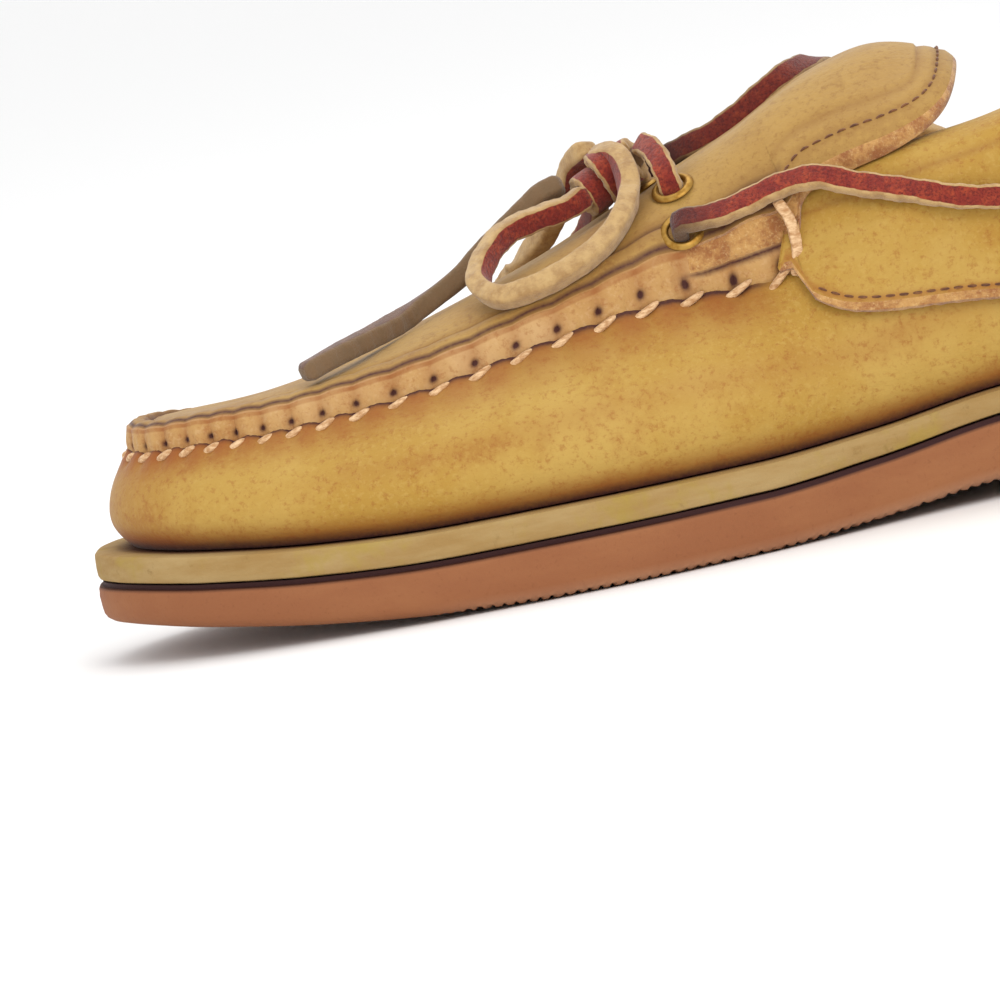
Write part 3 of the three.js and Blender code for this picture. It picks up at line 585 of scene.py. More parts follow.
def leather_finish(name, base, worn, dark):
    """Grain leather: clouds and flecks of a worn tone, streaks and stains of a dark one, and painted shade in the
    dark tone and the darkest brown where the pieces' masks mark it.
    """
    finish = Finish(name)
    cloud = finish.noise(28, 4, 0.6, distortion=0.4)
    patch = finish.noise(95, 5, 0.65)
    fleck = finish.noise(900, 2, 0.7)
    streak = finish.noise(60, 4, 0.6, coords=finish.stretched((0.25, 1, 1.6)))
    body = finish.mix(cloud.between(0.36, 0.68), base, worn)
    body = finish.mix(patch.between(0.5, 0.78) * 0.5, body, dark)
    body = finish.mix(streak.between(0.58, 0.8) * 0.25, body, dark)
    body = finish.mix(fleck.between(0.48, 0.7) * 0.6, body, worn)
    body = finish.mix(finish.noise(760, 3, 0.8).between(0.5, 0.7) * 0.45, body, dark)
    # Painted shade: the dark tone where the piece's mask marks shade, made patchy by the same noise
    stain = finish.tone("stain") * (0.5 + 0.9 * patch)
    body = finish.mix(stain, body, dark)
    # Painted shade: the darkest brown where the piece's mask marks holes, creases, gaps and joints
    body = finish.mix(finish.tone("burn") * (0.7 + 0.8 * fleck), body, colours().crease_shade)
    pores = finish.cells(1500)
    creases = finish.noise(160, 6, 0.7, coords=finish.stretched((0.6, 1.2, 2.2)))
    normal = finish.bump(pores, 0.00006, 0.6)
    normal = finish.bump(creases, 0.0004, 0.55, normal)
    normal = finish.bump(cloud, 0.0012, 0.3, normal)
    rough = 0.5 + 0.22 * patch + 0.1 * fleck
    return finish.done(Base_Color=body, Roughness=rough, Normal=normal, Sheen_Weight=0.12, Sheen_Roughness=0.5,
                       Specular_IOR_Level=0.35)


def suede_finish(name, base, dark, pale, scale=1.0):
    """The raw side of leather: clumps of fibre with pale tips."""
    finish = Finish(name)
    fuzz = finish.noise(1400 * scale, 4, 0.8)
    clump = finish.noise(260 * scale, 4, 0.7)
    body = finish.mix(clump.between(0.35, 0.65), dark, base)
    body = finish.mix(fuzz.between(0.5, 0.75) * 0.7, body, pale)
    normal = finish.bump(fuzz, 0.0004, 0.9)
    normal = finish.bump(clump, 0.0008, 0.6, normal)
    return finish.done(Base_Color=body, Roughness=0.95, Normal=normal, Sheen_Weight=0.35, Sheen_Roughness=0.6,
                       Specular_IOR_Level=0.15)


def crepe_finish():
    tint = colours()
    finish = Finish("midsole_crepe")
    grain = finish.noise(1300, 3, 0.7)
    smear = finish.noise(110, 5, 0.65, coords=finish.stretched((0.3, 0.7, 1.8)))
    body = finish.mix(smear.between(0.3, 0.7), tint.crepe, CREPE_SHADE)
    body = finish.mix(finish.noise(70, 4, 0.7).between(0.5, 0.7) * 0.6, body, CREPE_OLIVE)
    body = finish.mix(finish.noise(240, 5, 0.75).between(0.58, 0.75) * 0.5, body, CREPE_DIRT)
    # Painted shade on the top face, under the upper
    body = finish.mix(finish.tone("burn") * (0.5 + grain), body, CREPE_UNDER_UPPER_SHADE)
    normal = finish.bump(grain, 0.0002, 0.7)
    normal = finish.bump(smear, 0.0006, 0.4, normal)
    return finish.done(Base_Color=body, Roughness=0.82, Normal=normal, Specular_IOR_Level=0.25)


def rubber_finish():
    tint = colours()
    finish = Finish("outsole_rubber")
    grain = finish.noise(1100, 3, 0.7)
    cloud = finish.noise(45, 4, 0.6, coords=finish.stretched((0.5, 1, 1.5)))
    body = finish.mix(cloud.between(0.35, 0.7), tint.rubber, RUBBER_PALE)
    body = finish.mix(grain.between(0.55, 0.75) * 0.35, body, RUBBER_GRAIN)
    body = finish.mix(finish.tone("burn"), body, tint.glue)
    # Painted highlight: a pale strip along the rounded lower edge
    edge_highlight = finish.tone("stain") * (0.4 + cloud)
    body = finish.mix(edge_highlight, body, RUBBER_EDGE_HIGHLIGHT)
    normal = finish.bump(grain, 0.00018, 0.7)
    cuts = finish.waves(SIPE_WAVE / sizes().sipe_pitch, 1.5)
    normal = finish.bump(cuts * finish.tone("tread"), 0.0009, 1.0, normal)
    return finish.done(Base_Color=body, Roughness=0.72, Normal=normal, Specular_IOR_Level=0.35)


def thread_finish(name, base, shade):
    finish = Finish(name)
    strand = finish.noise(1500, 3, 0.6, coords=finish.stretched((0.4, 1, 1)))
    body = finish.mix(strand.between(0.3, 0.7), shade, base)
    return finish.done(Base_Color=body, Roughness=0.6, Normal=finish.bump(strand, 0.00025, 0.8),
                       Sheen_Weight=0.15, Specular_IOR_Level=0.4)


def lace_finish(name, darkened=0.0):
    """The face share runs from 0 on the raw back and edges to 1 on the waxed red face."""
    tint = colours()
    finish = Finish(name)
    fuzz = finish.noise(1700, 4, 0.8)
    clump = finish.noise(420, 4, 0.65)
    raw = finish.mix(clump.between(0.35, 0.7), tint.lace_edge, LACE_RAW_SHADE)
    raw = finish.mix(fuzz.between(0.55, 0.8) * 0.5, raw, LACE_RAW_TIPS)
    red = finish.mix(clump.between(0.4, 0.75), tint.lace_face, LACE_FACE_WORN)
    red = finish.mix(fuzz.between(0.3, 0.6), LACE_FACE_DARK, red)
    share = (finish.tone("face") + (fuzz - 0.5) * 0.5).between(0.42, 0.62)
    body = finish.mix(share, raw, red)
    # Painted shade where a piece marks it: at the eyelets, on low runs and in the knot's core
    body = finish.mix(finish.tone("burn") * 0.9, body, LACE_SHADE)
    # The bow's free ends are darkened to grey brown by the given share
    if darkened:
        body = finish.mix(darkened, body, finish.mix(clump.between(0.3, 0.7), tint.lace_dark, LACE_END_DARK))
    normal = finish.bump(fuzz, 0.0003, 0.8)
    normal = finish.bump(clump, 0.0005, 0.5, normal)
    return finish.done(Base_Color=body, Roughness=0.85, Normal=normal, Sheen_Weight=0.3, Specular_IOR_Level=0.2)


def brass_finish():
    finish = Finish("eyelet_brass")
    wear = finish.noise(600, 3, 0.6)
    body = finish.mix(wear.between(0.4, 0.7), colours().brass, BRASS_WORN)
    return finish.done(Base_Color=body, Metallic=1.0, Roughness=0.34 + 0.25 * wear,
                       Normal=finish.bump(wear, 0.0001, 0.4))


# Finished materials by name, filled by make_finishes
FINISHES = {}


def make_finishes():
    tint = colours()
    FINISHES["leather"] = leather_finish("upper_leather", tint.leather, tint.leather_worn, tint.leather_dark)
    # The plug's top: the upper's leather painted browner as shade where it faces up
    FINISHES["plug"] = leather_finish("plug_leather", tint.plug_top_shade, PLUG_SHADE_WORN, PLUG_SHADE_DARK)
    FINISHES["raw"] = suede_finish("raw_edge", tint.raw_edge, RAW_DARK, RAW_PALE)
    FINISHES["lining"] = suede_finish("lining_leather", tint.lining, LINING_DARK, LINING_PALE, 0.6)
    FINISHES["crepe"] = crepe_finish()
    FINISHES["rubber"] = rubber_finish()
    FINISHES["thread"] = thread_finish("seam_thread", tint.thread, THREAD_SHADE)
    FINISHES["fine_thread"] = thread_finish("fine_thread", FINE_THREAD, FINE_SHADE)
    FINISHES["band"] = leather_finish("band_leather", BAND, BAND_WORN, BAND_DARK)
    FINISHES["lace"] = lace_finish("lace_rawhide")
    # The bow's free ends: the lace finish made darker grey brown
    FINISHES["lace_end"] = lace_finish("lace_darkened", 0.82)
    FINISHES["brass"] = brass_finish()


# ---------------------------------------------------------------- sole
def ring_piece(name, stops, levels, material, tones):
    """Levels of the outline from the bottom up, each an inset and a height. Strips across close both ends."""
    points = []
    for inset, height in levels:
        x, y = stops.moved(inset if np.ndim(inset) else np.full(stops.count, inset))
        points.append(np.stack([x, y, height(x, y)], 1))
    n = stops.count
    faces = []
    for r in range(len(levels) - 1):
        for k in range(n):
            a, b = r * n + k, r * n + (k + 1) % n
            faces.append((a, b, b + n, a + n))
    side = np.arange(stops.steps + 1)
    facing = (n - side) % n
    across = 14
    for start, level, height in ((0, points[0], levels[0][1]), ((len(levels) - 1) * n, points[-1], levels[-1][1])):
        previous = start + side
        for t in range(1, across + 1):
            if t == across:
                row = start + facing
            else:
                share = t / across
                line = level[side] * (1 - share) + level[facing] * share
                line[:, 2] = height(line[:, 0], line[:, 1])
                row = sum(len(part) for part in points) + side
                points.append(line)
            for k in range(stops.steps):
                corners = tuple(dict.fromkeys((previous[k], previous[k + 1], row[k + 1], row[k])))
                if len(corners) > 2:
                    faces.append(corners)
            previous = row
    vertices = np.concatenate(points)
    values = {label: rule(vertices) for label, rule in tones.items()}
    piece = new_object(name, vertices, faces, [material], tones=values, smooth_angle=35)
    return piece


def sipes(x, y):
    """Cuts of the tread, 0 between them and 1 in them, under the ball and the heel."""
    at = x / SHOE_LENGTH
    zone = .7 * smooth(at, .2, .24) * (1 - smooth(at, .55, .6)) + smooth(at, .74, .78)
    zigzag = 1.3 * np.abs((y / 5) % 2 - 1)
    phase = (x + zigzag) / (sizes().sipe_pitch / MM) % 1
    return zone * np.where(phase < .38, 1, 0)


def make_outsole():
    stops = Stops(620)
    round_off = 2.6
    sipe_depth = 0.95

    def bottom(x, y):
        return sole_lines(x)[0] + sipe_depth * sipes(x, y)

    def at_height(rise):
        return lambda x, y: np.maximum(sole_lines(x)[0] + rise, bottom(x, y))

    def top(drop):
        return lambda x, y: sole_lines(x)[1] - CLEARANCE - drop

    groove = 0.35 + 0.75 * (1 - smooth(stops.at, .33, .42))
    levels = [
        (round_off + 3.2, bottom), (round_off, bottom), (round_off * .55, at_height(.3)),
        (round_off * .22, at_height(.9)), (.15, at_height(1.7)), (0.0, at_height(2.8)), (-.12, at_height(5)),
        (0.0, top(2.2)), (0.05, top(1.5)), (0.3, top(1.05)), (groove, top(.85)), (groove, top(0)), (14.0, top(0)),
    ]

    def over_floor(v, low, high):
        return smooth(v[:, 2] - sole_lines(v[:, 0])[0], low, high)

    tones = {
        "burn": lambda v: smooth(v[:, 2] - sole_lines(v[:, 0])[1], -1.5, -1.25),
        # painted highlight along the rounded lower edge, behind the toe
        "stain": lambda v: .6 * (1 - over_floor(v, .8, 2.6)) * smooth(v[:, 0], 55, 80),
        "tread": lambda v: 1 - over_floor(v, 0, .3),
    }
    piece = ring_piece("outsole_rubber_layer", stops, levels, FINISHES["rubber"], tones)
    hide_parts("outsole")


def make_midsole():
    stops = Stops(330)
    wave = 0.12 * np.sin(stops.run * .23) + 0.1 * np.sin(stops.run * .61 + 1)
    base = 0.3 + wave * .6

    def from_top(drop):
        return lambda x, y: sole_top(x) - drop

    def from_bottom(rise):
        return lambda x, y: sole_lines(x)[1] + rise

    levels = [
        (14.0, from_bottom(0)), (base + .9, from_bottom(0)), (base + .25, from_bottom(.25)), (base, from_bottom(.8)),
        (base - .05, from_bottom(2)), (base + .05, from_top(1.3)), (base + .15, from_top(.6)),
        (base + .55, from_top(.12)), (base + 1.3, from_top(0)), (base + 4, from_top(0)), (base + 7.5, from_top(.1)),
        (20.0, from_top(.1)),
    ]
    inner = Stops(120)

    # Mask of the painted shade where the midsole's top face lies under the upper
    def welt(v):
        gap = np.min(np.hypot(v[:, None, 0] - inner.x[None], v[:, None, 1] - inner.y[None]), 1)
        return smooth(gap, 4.2, 7.4) * smooth(v[:, 2] - sole_lines(v[:, 0])[1], 2.0, 3.2)

    piece = ring_piece("midsole_layer", stops, levels, FINISHES["crepe"], {"burn": welt})
    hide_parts("midsole")


# ---------------------------------------------------------------- upper
class Upper:
    """The last at the fineness of the upper, with the lines that cut it."""

    def __init__(self, steps=300):
        self.stops = Stops(steps)
        self.points = last_columns(self.stops)
        self.normals = column_normals(self.points, self.stops.facing())

    def surface(self, offset):
        return grown(self.points, self.normals, offset)

    def shoulder_run(self, surface):
        return np.array([running(column[:WALL_ROWS])[-1] for column in surface])

    def tree(self, offset):
        grid = self.surface(offset)
        n, m = grid.shape[:2]
        faces = []
        for i in range(n):
            a, b = i * m, ((i + 1) % n) * m
            faces += [(a + j, b + j, b + j + 1, a + j + 1) for j in range(m - 1)]
        return BVHTree.FromPolygons(grid.reshape(-1, 3).tolist(), faces)


# Forms that several pieces read, each made once
FORMS = {}


def upper():
    if "upper" not in FORMS:
        FORMS["upper"] = Upper()
    return FORMS["upper"]


def plug_edge():
    if "edge" not in FORMS:
        FORMS["edge"] = PlugEdge()
    return FORMS["edge"]


def plug_tree():
    return upper().tree(rise_at(upper().stops.at))


def seam_run():
    """Running length along the toe seam at each stop, 0 at the toe tip and growing both ways."""
    stops = upper().stops
    x, y = stops.moved(BALL_WIDTH * LAST.read("inset", stops.at))
    points = np.stack([x, y], 1)
    steps = np.linalg.norm(np.diff(points, axis=0), axis=1)
    medial = np.concatenate([[0], np.cumsum(steps)])[:stops.steps + 1]
    steps = np.linalg.norm(np.diff(np.concatenate([points[:1], points[::-1]]), axis=0), axis=1)
    lateral = np.cumsum(steps)[:stops.steps - 1][::-1]
    return np.concatenate([medial, lateral])


def seam_scale():
    """Running lengths from the toe tip and the stitches passed there: they stand closer round the toe."""
    run = np.linspace(0, 400, 4001)
    pitch = sizes().seam_pitch / MM * (.64 + .4 * smooth(run, 25, 75) + .2 * smooth(run, 90, 150))
    return run, np.concatenate([[0], np.cumsum(np.diff(run) / pitch[1:])])


def pucker(run):
    """0 at each stitch hole of the seam and 1 midway between two."""
    return np.abs(np.sin(math.pi * np.interp(run, *seam_scale())))


def gathers(run):
    """Fine pleats between the holes, from -1 to 1."""
    phase = np.interp(run, *seam_scale())
    return np.sin(math.pi * 5 * phase) * .6 + np.sin(math.pi * 8.6 * phase + 1) * .4


# ---------------------------------------------------------------- vamp
# Rows of the vamp below the last's shoulder and above it
LOWER_ROWS = 34
UPPER_ROWS = 9
# Creases over the ball of the foot: place, width and depth
CREASES = [(.33, .012, -.55), (.365, .01, -.5), (.4, .012, -.4)]


def vamp_rows(surface):
    """Rows from the sole to the shoulder and, behind the seam, on to the topline."""
    form = upper()
    low = crossing(surface, lambda x, y: sole_top(x) + CLEARANCE)
    top = crossing(surface, lambda x, y: topline_at(x, y, ROLL_DEPTH / 2 + .3))
    below_seam = form.shoulder_run(surface) - .1
    top = np.where(form.stops.at < SEAM_END, below_seam, top)
    shoulder = np.minimum(below_seam, top)
    lower = resampled(surface, low, shoulder, LOWER_ROWS, .8)
    higher = resampled(surface, shoulder, np.maximum(top, shoulder), UPPER_ROWS + 1)[:, 1:]
    return np.concatenate([lower, higher], 1)


def vamp_relief(at, share, pleat, pleats, front):
    """How far the outside stands off the last: gathers under the seam, sags and creases."""
    near_seam = smooth(share, .66, 1) * front
    gather = 1.15 * (pleat - .5) * near_seam ** 1.5 + .16 * pleats * near_seam ** 3
    sag = .5 * np.sin(at * 31) * np.sin(share * 3.1) + .35 * np.sin(at * 57 + 2) * share
    bend = sum(depth * hump(at + .05 * (share - .6), place, width) for place, width, depth in CREASES)
    bend = bend * smooth(share, .3, .7) * (1 - smooth(share, .85, 1))
    return gather + (sag * front + bend) * np.clip(np.sin(np.pi * share), 0, 1) ** .5


def make_vamp():
    form = upper()
    at = form.stops.at[:, None]
    run = seam_run()[:, None]
    pleat = pucker(run)
    front = 1 - smooth(at, SEAM_END - .03, SEAM_END)
    share = np.concatenate([np.linspace(0, 1, LOWER_ROWS) ** .8, np.ones(UPPER_ROWS)])[None]
    outer, inner = vamp_rows(form.surface(0)), vamp_rows(form.surface(-sizes().vamp_wall / MM))
    relief = vamp_relief(at, share, pleat, gathers(run), front)
    outer = outer + unit(outer - inner) * relief[..., None]
    loops = np.concatenate([outer, inner[:, ::-1]], 1)
    faces, row = loft(loops, True)
    rows = LOWER_ROWS + UPPER_ROWS
    up = np.concatenate([share, share[:, ::-1]], 1)
    height = loops[..., 2] - sole_top(loops[..., 0])
    toe = 1 - smooth(at * SHOE_LENGTH, 2, 22)
    # Painted shade, darker under the toe seam, near the sole, at the toe tip and in a faint line half way up the
    # wall
    stain = .95 * smooth(up, .58, .98) * front * (.55 + .45 * pleat) + .8 * (1 - smooth(height, 1.5, 6))
    stain = stain + .35 * toe + .22 * hump(up, .45, .08) * smooth(at, .1, .2)
    # Painted shade: darkest at the stitch holes, in the gap at the sole and along the junction under the toe seam
    hole = hump(pleat, 0, .35) * smooth(up, .9, .99) * front
    burn = .95 * (1 - smooth(height, .2, 2.6)) + .8 * hole + .9 * smooth(up, .94, .975) * front
    outside = np.arange(2 * rows) < rows
    piece = new_object("vamp_leather", loops.reshape(-1, 3), faces, [FINISHES["leather"], FINISHES["lining"]],
                       [0 if r < rows else 1 for r in row], grid_uvs(loops),
                       {"stain": stain * outside, "burn": burn * outside})
    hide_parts("vamp")


# ---------------------------------------------------------------- plug and flap
def eased_corner(line, x, width, rounds):
    """A plan line whose bend near one x is rounded off."""
    blend = hump(line[:, 0], x, width)[:, None]
    eased = line[:, :2].copy()
    for _ in range(rounds):
        eased[1:-1] = (eased[:-2] + eased[2:]) / 2
    line[:, :2] = line[:, :2] * (1 - blend) + eased * blend
    return line


def plug_outline():
    """Plan outline of the plug and its flap, from the toe back along the medial side, round the flap's end
    and forward again. Columns: x, y, running length of the seam, and 1 where it is sewn."""
    stops = upper().stops
    x, y = stops.moved(BALL_WIDTH * LAST.read("inset", stops.at) + CLEARANCE / 2)
    run = seam_run()
    seam_x = SEAM_END * SHOE_LENGTH
    round_end_at = .575 + (.597 - .575) * np.sin(np.linspace(0, math.pi / 2, 24))[1:]
    flap_at = np.concatenate([np.linspace(.485, .575, 40), round_end_at])
    sides = []
    for side, order, column in ((-1, range(stops.steps), "medial"),
                                (1, range(stops.count - 1, stops.steps, -1), "lateral")):
        keep = [k for k in order if x[k] < seam_x]
        seam = np.stack([x[keep], y[keep], run[keep], np.ones(len(keep))], 1)
        none = np.zeros(len(flap_at))
        flap = np.stack([flap_at * SHOE_LENGTH, side * BALL_WIDTH * FLAP.read(column, flap_at), none, none], 1)
        joined = np.concatenate([seam, flap])
        steps = running(joined[:, :2])
        even = np.linspace(0, steps[-1], SIDE_POINTS)
        line = np.stack([np.interp(even, steps, joined[:, c]) for c in range(4)], 1)
        line = eased_corner(line, seam_x, 4, 30)
        line[:, 2] = np.maximum.accumulate(line[:, 2])
        sides.append(line)
    medial, lateral = sides
    t = np.linspace(0, 1, END_POINTS + 2)[1:-1]
    end = medial[-1][None] * (1 - t[:, None]) + lateral[-1][None] * t[:, None]
    end[:, 0] += 1.6 * np.sin(math.pi * t)
    outline = np.concatenate([medial, end, lateral[::-1]])
    first, last = SIDE_POINTS - 70, SIDE_POINTS + END_POINTS + 70
    for _ in range(160):
        outline[first:last, :2] = (outline[first - 1:last - 1, :2] + outline[first + 1:last + 1, :2]) / 2
    return outline


class PlugEdge:
    """The plug's outline and what changes along it. make_plug adds the heights of the band's foot and rim."""

    def __init__(self):
        outline = plug_outline()
        self.plan, self.run, self.sewn = outline[:, :2], outline[:, 2], outline[:, 3]
        self.at = outline[:, 0] / SHOE_LENGTH
        self.seam = smooth(self.sewn, .2, .9) * (1 - smooth(self.at, SEAM_END - .012, SEAM_END + .004))
        self.pleat = pucker(self.run)
        # The flap's own cut edge stands over the band from the eyelets on, and the holes lie lower there
        self.ledge = smooth(self.at, .392, .42) * self.seam
        self.hole_rise = .4 - .17 * self.ledge
        reach = (outline[:, 0] - outline[:, 0].min()) / np.ptp(outline[:, 0])
        spine_x = SPINE_FRONT + (SPINE_BACK - SPINE_FRONT) * reach
        self.spine = np.stack([spine_x, BALL_WIDTH * LAST.read("ridge", spine_x / SHOE_LENGTH)], 1)
        inward = unit(self.spine - self.plan)
        tangent = unit(np.roll(self.plan, -1, 0) - np.roll(self.plan, 1, 0))
        inward = unit(inward - .85 * tangent * np.sum(inward * tangent, 1)[:, None])
        self.outward = -inward

    def on_side(self, side):
        index = np.arange(len(self.run))
        return index < SIDE_POINTS if side < 0 else index >= len(index) - SIDE_POINTS

    def seam_length(self, side):
        return self.run[self.on_side(side) & (self.sewn > .9)].max()

    def seam_point(self, run, side, rise, out_by):
        """A point on the band at a running length from the toe tip, at a share of its height."""
        use = np.nonzero(self.on_side(side) & (self.sewn > .5))[0]
        order = use[np.argsort(self.run[use])]
        x, y, out_x, out_y, low, high = (
            np.interp(run, self.run[order], values[order])
            for values in (*self.plan.T, *self.outward.T, self.low, self.high))
        out = np.array([out_x, out_y, 0])
        return np.array([x, y, low + (high - low) * rise]) + out * out_by, out


def height_on(tree, x, y):
    """Height of the form under a point in plan, or None beyond its edge."""
    hit = tree.ray_cast(Vector((x, y, 400)), Vector((0, 0, -1)))[0]
    return hit.z if hit else None


def heights(tree, points, inner):
    """Heights over many plan points. A point beyond the form's edge takes the height a little further in."""
    result = np.empty(len(points))
    for k, (x, y) in enumerate(points):
        for pull in (0, .04, .08, .14, .22):
            z = height_on(tree, x + (inner[k][0] - x) * pull, y + (inner[k][1] - y) * pull)
            if z is not None:
                break
        result[k] = z if z is not None else 40
    return result


def plug_rows(edge):
    """Plan points from the edge to the spine, closer together across the band, and how far in each lies."""
    band = sizes().band_width / MM
    width = np.linalg.norm(edge.spine - edge.plan, axis=1)
    distances = [0, .5, 1.2, band - .5, band, band + .6, band + 1.5, band + 3]
    rows, inset = [], []
    for distance in distances:
        rows.append(edge.plan - edge.outward * np.minimum(distance, width * (.05 + .09 * distance))[:, None])
        inset.append(np.full(len(width), distance))
    start = rows[-1]
    for share in np.linspace(0, 1, 24)[1:]:
        rows.append(start + (edge.spine - start) * share)
        inset.append(distances[-1] + width * share)
    return np.stack(rows, 1), np.stack(inset, 1)


def plug_heights(edge, rows, proud):
    """Heights of the form under the plan points, evened out round the flap's corners."""
    count = rows.shape[1]
    tree = upper().tree(rise_at(upper().stops.at, proud))
    inner = np.repeat(edge.spine, count, 0)
    z = heights(tree, rows.reshape(-1, 2), inner).reshape(-1, count)
    first, last = SIDE_POINTS - 60, SIDE_POINTS + END_POINTS + 60
    for _ in range(60):
        z[first:last, :10] = (z[first - 1:last - 1, :10] + 2 * z[first:last, :10] + z[first + 1:last + 1, :10]) / 4
    return z


def plug_top(edge, rows, inset, z):
    """The upper sheet: rim with its lip and groove, band lower near the flap, and the flap's pressed lines."""
    band = sizes().band_width / MM
    seam, pleat = edge.seam[:, None], edge.pleat[:, None]
    lip = BAND_LIP * seam * (1 - smooth(inset, band - .2, band + .7))
    lip = lip + .35 * seam * (pleat - .6) * (1 - smooth(inset, 0, band + 4))
    rounded = -.7 * (1 - smooth(inset, -.1, 1.1))
    groove = -.5 * hump(inset, band + .5, .5) * seam
    lower = -.65 * (rise_at(edge.at) - PLUG_RISE)[:, None] * seam * (1 - smooth(inset, 1.5, 11))
    swell = .35 * np.sin(rows[..., 0] / 9 + rows[..., 1] / 14) * smooth(inset, 5, 14)
    pressed = (1 - seam) * (-.25 * hump(inset, 2.6, .55) - .4 * hump(inset, 6.2, .8))
    return np.dstack([rows, (z + lip + rounded + groove + lower + swell + pressed)[..., None]])


def plug_under(edge, rows, z):
    """The under sheet from the spine outward. At the band it is tucked in, clear of the ledge."""
    under = np.dstack([rows, z[..., None]])
    tucked = np.clip(edge.seam * 1.5, 0, 1)[:, None]
    for k in (1, 2):
        under[:, k] = under[:, k] * (1 - tucked) + (under[:, 3] - [0, 0, .05 * (3 - k)]) * tucked
    return under[:, :0:-1]


def band_foot(edge, z_under):
    """Height of the band's foot in the seam, and of the flap's under side behind it."""
    shoulder = upper().points[:, WALL_ROWS - 1]
    foot = np.array([shoulder[np.argmin(np.sum((shoulder[:, :2] - p) ** 2, 1)), 2] for p in edge.plan])
    return edge.seam * (foot - 1.3 - .5 * edge.pleat * edge.seam) + (1 - edge.seam) * z_under


def band_wall(edge):
    """The band's upright face: pleated, pinched at each hole, with the flap's cut edge over it near the lace."""
    rows = []
    for t in np.linspace(0, 1, BAND_ROWS, endpoint=False):
        bulge = edge.seam * (.25 + .8 * edge.pleat ** .7 * math.sin(math.pi * (.12 + .8 * t)))
        bulge = bulge + .17 * edge.seam * gathers(edge.run) * math.sin(math.pi * min(1, t + .15))
        bulge = bulge - edge.ledge * (1.1 * smooth(t, .46, .54) + .5 * hump(t, .5, .05))
        pinch = -.5 * edge.seam * hump(edge.pleat, 0, .22) * hump(t, edge.hole_rise, .12)
        soft = .45 * (1 - edge.seam) * math.sin(math.pi * t)
        xy = edge.plan + edge.outward * (bulge + pinch + soft)[:, None]
        rows.append(np.column_stack([xy, edge.low + (edge.high - edge.low) * t]))
    return np.stack(rows, 1)


def plug_faces(edge, count, top_count):
    """Faces and finishes: band 0, top 1, raw edge 2, lining 3. Each sheet's halves meet along the spine."""
    n = len(edge.run)
    spine_row = BAND_ROWS + top_count - 1
    faces, slots = [], []
    for i in range(n):
        a, b = i * count, ((i + 1) % n) * count
        for j in range(count):
            if j == spine_row:
                continue
            k = (j + 1) % count
            faces.append((a + j, b + j, b + k, a + k))
            if j < BAND_ROWS:
                raw = edge.seam[i] < .5 or (edge.ledge[i] > .5 and j > BAND_ROWS / 2)
                slots.append(2 if raw else 0)
            else:
                slots.append(1 if j < spine_row else 3)
    for sheet, slot in ((spine_row, 1), (spine_row + 1, 3)):
        line = [i * count + sheet for i in range(n)]
        medial, end = line[:SIDE_POINTS], line[SIDE_POINTS:-SIDE_POINTS]
        lateral = line[:-SIDE_POINTS - 1:-1]
        for k in range(SIDE_POINTS - 1):
            faces.append((medial[k], medial[k + 1], lateral[k + 1], lateral[k]))
            slots.append(slot)
        faces.append((medial[-1], *end, lateral[-1]))
        slots.append(slot)
    return faces, slots


def plug_tones(edge, inset, count):
    band = sizes().band_width / MM
    stain, burn = np.zeros((len(edge.run), count)), np.zeros((len(edge.run), count))
    # Painted shade on the band's wall: darker round the stitch holes and at its top, darkest in the holes, along its
    # foot and under the flap's cut edge
    for j in range(BAND_ROWS):
        t = j / BAND_ROWS
        stain[:, j] = edge.seam * (.25 + .35 * (1 - edge.pleat) + .4 * (t > .85))
        hole = hump(edge.pleat, 0, .26) * hump(t, edge.hole_rise, .1)
        burn[:, j] = edge.seam * (1.5 * hole + .95 * hump(t, 0, .08)) + .9 * edge.ledge * hump(t, .5, .045)
    top = slice(BAND_ROWS, BAND_ROWS + inset.shape[1])
    seam = edge.seam[:, None]
    # Painted shade on the top: darker in the groove behind the band, along the band's top edge and in the flap's
    # pressed lines
    stain[:, top] = (.6 * seam * hump(inset, band + .5, 1.3)
                     + .5 * (1 - seam) * (hump(inset, 2.6, .9) + hump(inset, 6.2, 1)))
    burn[:, top] = seam * (.75 * hump(inset, band + .5, .55) + .85 * hump(inset, .5, .3))
    stain[:, BAND_ROWS:BAND_ROWS + 2] += .5 * seam
    return {"stain": stain, "burn": burn}


def make_plug():
    edge = plug_edge()
    rows, inset = plug_rows(edge)
    z_under = plug_heights(edge, rows, -sizes().plug_wall / MM)
    top = plug_top(edge, rows, inset, plug_heights(edge, rows, 0))
    edge.low, edge.high = band_foot(edge, z_under[:, 0]), top[:, 0, 2]
    under = plug_under(edge, rows, np.minimum(z_under, top[..., 2] - 1.2))
    loops = np.concatenate([band_wall(edge), top, under], 1)
    faces, slots = plug_faces(edge, loops.shape[1], top.shape[1])
    materials = [FINISHES[name] for name in ("band", "plug", "raw", "lining")]
    uvs = loops[..., :2].reshape(-1, 2)
    piece = new_object("plug_leather", loops.reshape(-1, 3), faces, materials, slots, uvs,
                       plug_tones(edge, inset, loops.shape[1]))
    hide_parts("plug_tongue")


# ---------------------------------------------------------------- quarter
def quarter_columns():
    form = upper()
    order = np.nonzero(form.stops.at >= .4768)[0]
    return form, order


def quarter_edge(x):
    """Height of the quarter's raw lower edge."""
    return sole_top(x) + INSTEP_HEIGHT * QUARTER_EDGE.read("height", x / SHOE_LENGTH)


